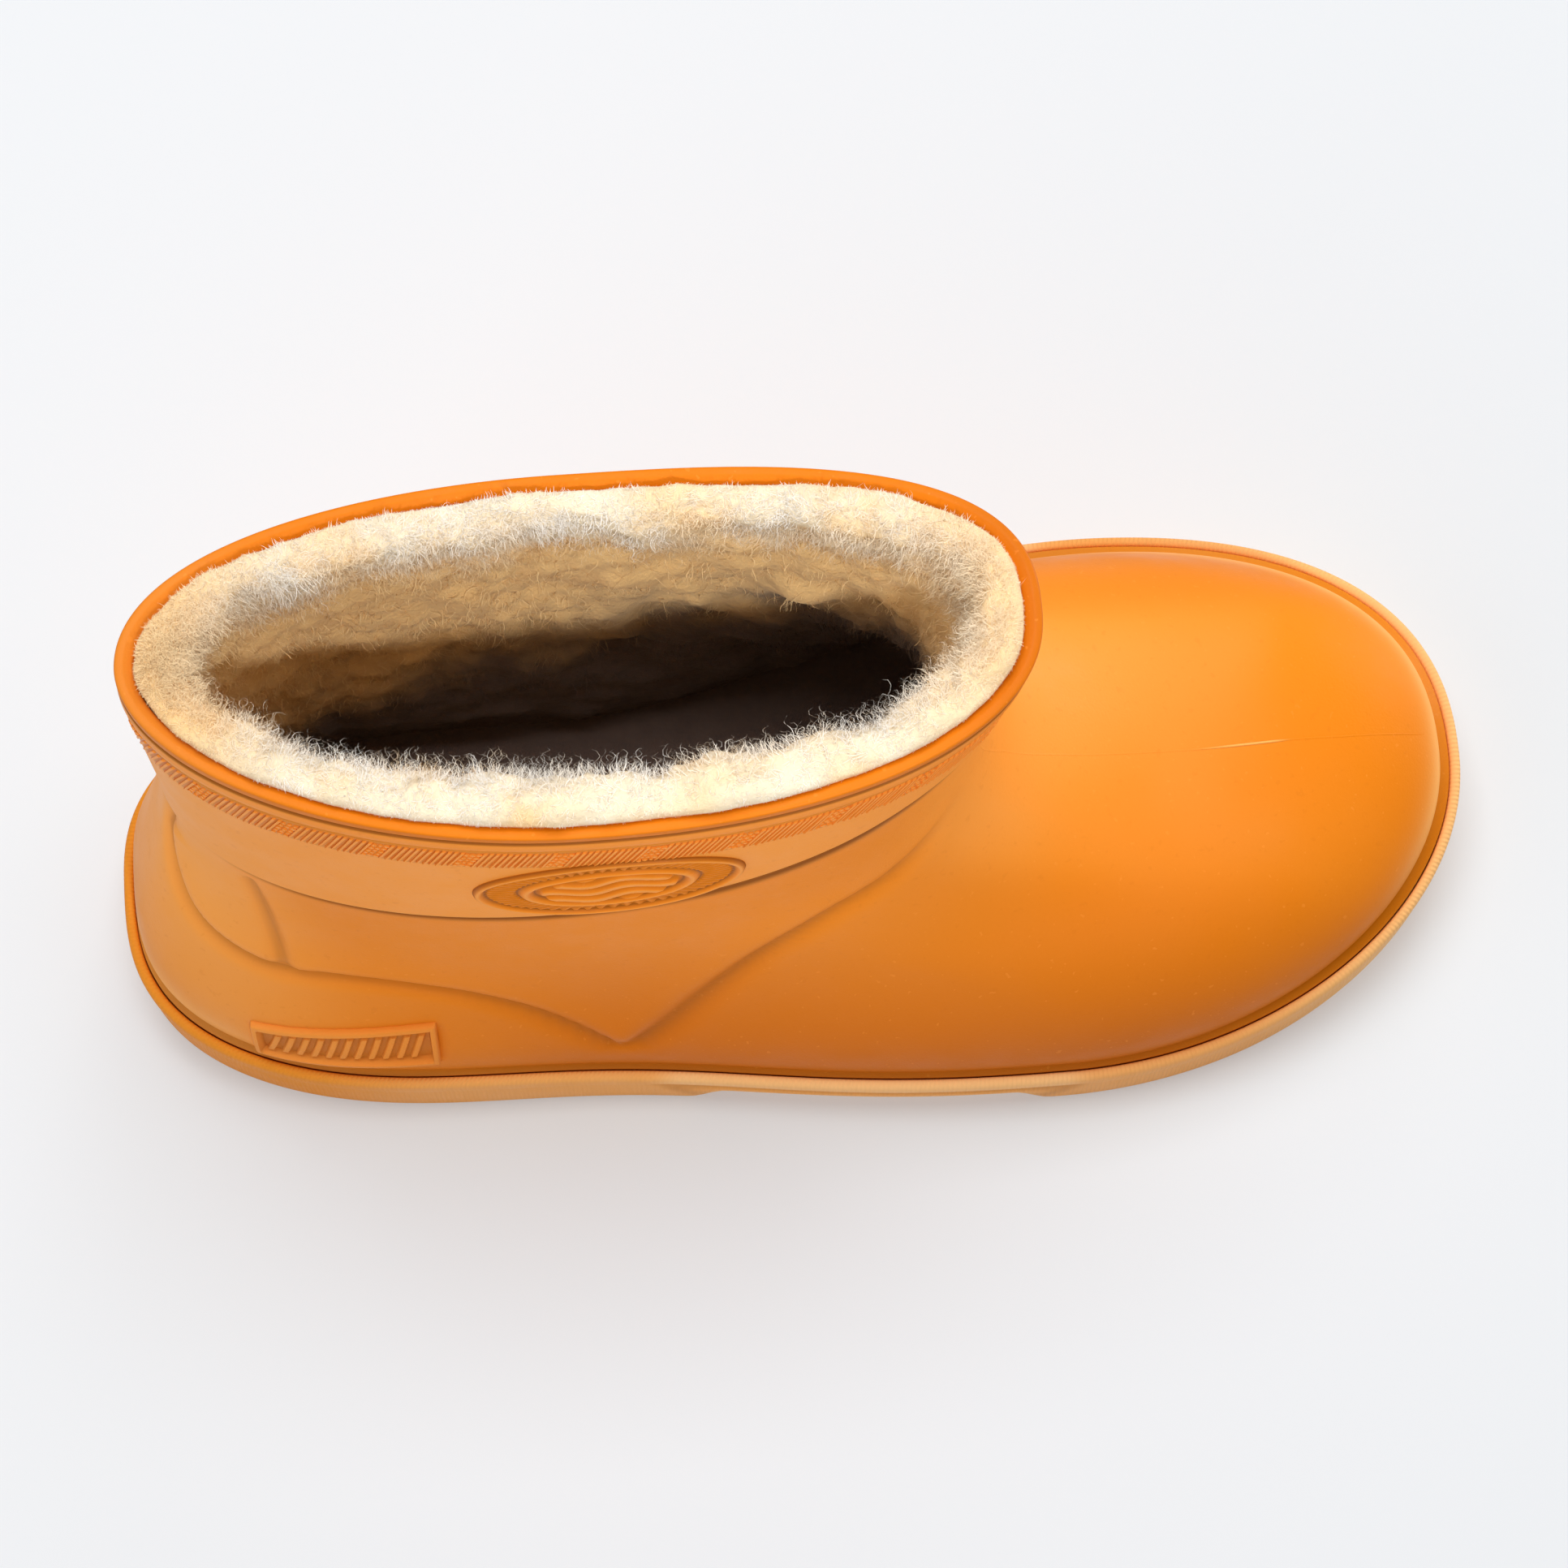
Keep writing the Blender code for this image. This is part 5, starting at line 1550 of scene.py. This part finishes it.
def fleece_look(name, bright, tan, dark):
    """Cream pile, tan further down as painted warm shade, and dark in the foot as the collar's painted
    shadow, first towards the toe.
    """
    look = Look(name, CLOTH_ROUGHNESS)
    colour = look.blend(look.flecks(*FLEECE_PATCHES), bright, tan)
    colour = look.blend(look.zone(*FLEECE_HEEL), colour, tan)
    colour = look.blend(look.zone(*FLEECE_FRONT), colour, tan)
    deep = look.math("ADD", look.axis("Z"), look.flecks(*FLEECE_CLOUDS))
    # Painted warm shade further down
    colour = look.blend(look.span(deep, *FLEECE_TAN), colour, tan)
    # Painted shadow of the collar deep inside, higher towards the toe
    shade = look.math("ADD", deep, look.math("MULTIPLY", look.axis("X"), FLEECE_TOEWARD))
    colour = look.blend(look.span(shade, *FLEECE_DARK), colour, dark)
    curls = look.grain(*FLEECE_CURLS, look.bump(look.noise(*FUZZ_NOISE), *FUZZ_BUMP))
    look.set(base_color=colour, normal=curls, sheen_weight=FLEECE_SHEEN_WEIGHT)
    return look.set(sheen_roughness=SHEEN_ROUGHNESS, sheen_tint=FLEECE_SHEEN)


def felt_look():
    """Dark brown felt."""
    look = Look("insole_felt", CLOTH_ROUGHNESS)
    look.set(base_color=look.blend(look.noise(*FELT_NOISE), *FELT_COLOURS), normal=look.grain(*FELT_NAP))
    return look.set(sheen_weight=FELT_SHEEN_WEIGHT, sheen_roughness=SHEEN_ROUGHNESS)


def floor_look():
    """Plain pale studio floor."""
    look = Look("pale_floor", FLOOR_ROUGHNESS)
    look.set(base_color=look.blend(look.noise(*FLOOR_NOISE), *FLOOR_COLOURS))
    look.set(specular_ior_level=FLOOR_SPECULAR)
    return look.set(emission_color=WHITE, emission_strength=FLOOR_GLOW)


def add_light(name, lamp, place, target):
    """Put a lamp at a place, turned to a target."""
    made = bpy.data.objects.new(name, lamp)
    made.location = place
    made.rotation_euler = (Vector(target) - Vector(place)).to_track_quat("-Z", "Y").to_euler()
    bpy.context.scene.collection.objects.link(made)
    return made


def area_light(name, place, size, power):
    """Soft square light, aimed at the boot."""
    lamp = bpy.data.lights.new(name, "AREA")
    lamp.shape = "SQUARE"
    lamp.size = size
    lamp.energy = power
    return add_light(name, lamp, place, LIGHT_TARGET)


def keep_off(lamp, floor):
    """Keep the light of one lamp, and the shadow it makes, off the floor."""
    unlit = bpy.data.collections.new(lamp.name + "_unlit")
    unlit.objects.link(floor)
    unlit.collection_objects[0].light_linking.link_state = "EXCLUDE"
    lamp.light_linking.receiver_collection = unlit


def spot_light(name):
    """Soft-edged lamp on the shaft and the inside of the collar."""
    lamp = bpy.data.lights.new(name, "SPOT")
    lamp.spot_size = math.radians(SHAFT_LIGHT_CONE)
    lamp.spot_blend = 1.0
    lamp.shadow_soft_size = SHAFT_LIGHT_SIZE
    lamp.energy = SHAFT_LIGHT_POWER
    return add_light(name, lamp, SHAFT_LIGHT_PLACE, SHAFT_LIGHT_TARGET)


def build_stage():
    """Pale floor, soft lights and even surroundings."""
    corners = [(FLOOR_HALF * x, FLOOR_HALF * y, 0.0) for x, y in ((-1, -1), (1, -1), (1, 1), (-1, 1))]
    mesh = bpy.data.meshes.new("floor")
    mesh.from_pydata(corners, [], [(0, 1, 2, 3)])
    mesh.materials.append(floor_look())
    floor = bpy.data.objects.new("floor", mesh)
    floor.location.z = -FLOOR_DROP
    bpy.context.scene.collection.objects.link(floor)
    for row in LIGHT_ROWS:
        area_light(*row)
    keep_off(area_light(*RIM_LIGHT), floor)
    keep_off(spot_light("shaft_light"), floor)
    world = bpy.data.worlds.new("studio")
    world.use_nodes = True
    surroundings = world.node_tree.nodes["Background"]
    surroundings.inputs["Color"].default_value = (*WHITE, 1.0)
    surroundings.inputs["Strength"].default_value = WORLD_STRENGTH
    bpy.context.scene.world = world
    bpy.context.scene.view_settings.view_transform = "Standard"


def build_camera():
    """Camera at the photograph's angle to the boot."""
    elevation = math.radians(CAMERA_ELEVATION)
    azimuth = math.radians(CAMERA_AZIMUTH)
    right = Vector((math.cos(azimuth), math.sin(azimuth), 0.0))
    level = Vector((math.sin(azimuth), -math.cos(azimuth), 0.0))
    back = level * math.cos(elevation) + Vector((0.0, 0.0, math.sin(elevation)))
    up = back.cross(right)
    target = Vector(placed(CAMERA_TARGET))
    lens = bpy.data.cameras.new("camera")
    lens.lens = CAMERA_LENS
    lens.sensor_width = CAMERA_SENSOR
    made = bpy.data.objects.new("camera", lens)
    turn = Matrix((right, up, back)).transposed().to_4x4()
    made.matrix_world = Matrix.Translation(target + back * CAMERA_DISTANCE * MM) @ turn
    bpy.context.scene.collection.objects.link(made)
    bpy.context.scene.camera = made


def main():
    """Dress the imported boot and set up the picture."""
    for old in list(bpy.data.objects):
        bpy.data.objects.remove(old, do_unlink=True)
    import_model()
    rubber = rubber_look("upper_rubber")
    build_upper(rubber)
    build_parting(rubber)
    build_hatch(rubber_look("hatch_rubber"))
    build_outsole(sole_look())
    build_medallion(rubber_look("medallion_rubber"))
    build_plate(rubber_look("plate_rubber"))
    build_insole(felt_look())
    rough, normals = build_fleece(fleece_look("fleece_pile", PILE_CREAM, PILE_TAN, FLEECE_SHADE))
    fibre = fleece_look("fleece_fibre", FIBRE_CREAM, FIBRE_TAN, FLEECE_SHADE)
    draw = np.random.default_rng(SEED)
    for row in STRAND_ROWS:
        build_strands(dict(zip(STRAND_COLUMNS, row)), fibre, rough, normals, draw)
    build_stage()
    build_camera()


main()
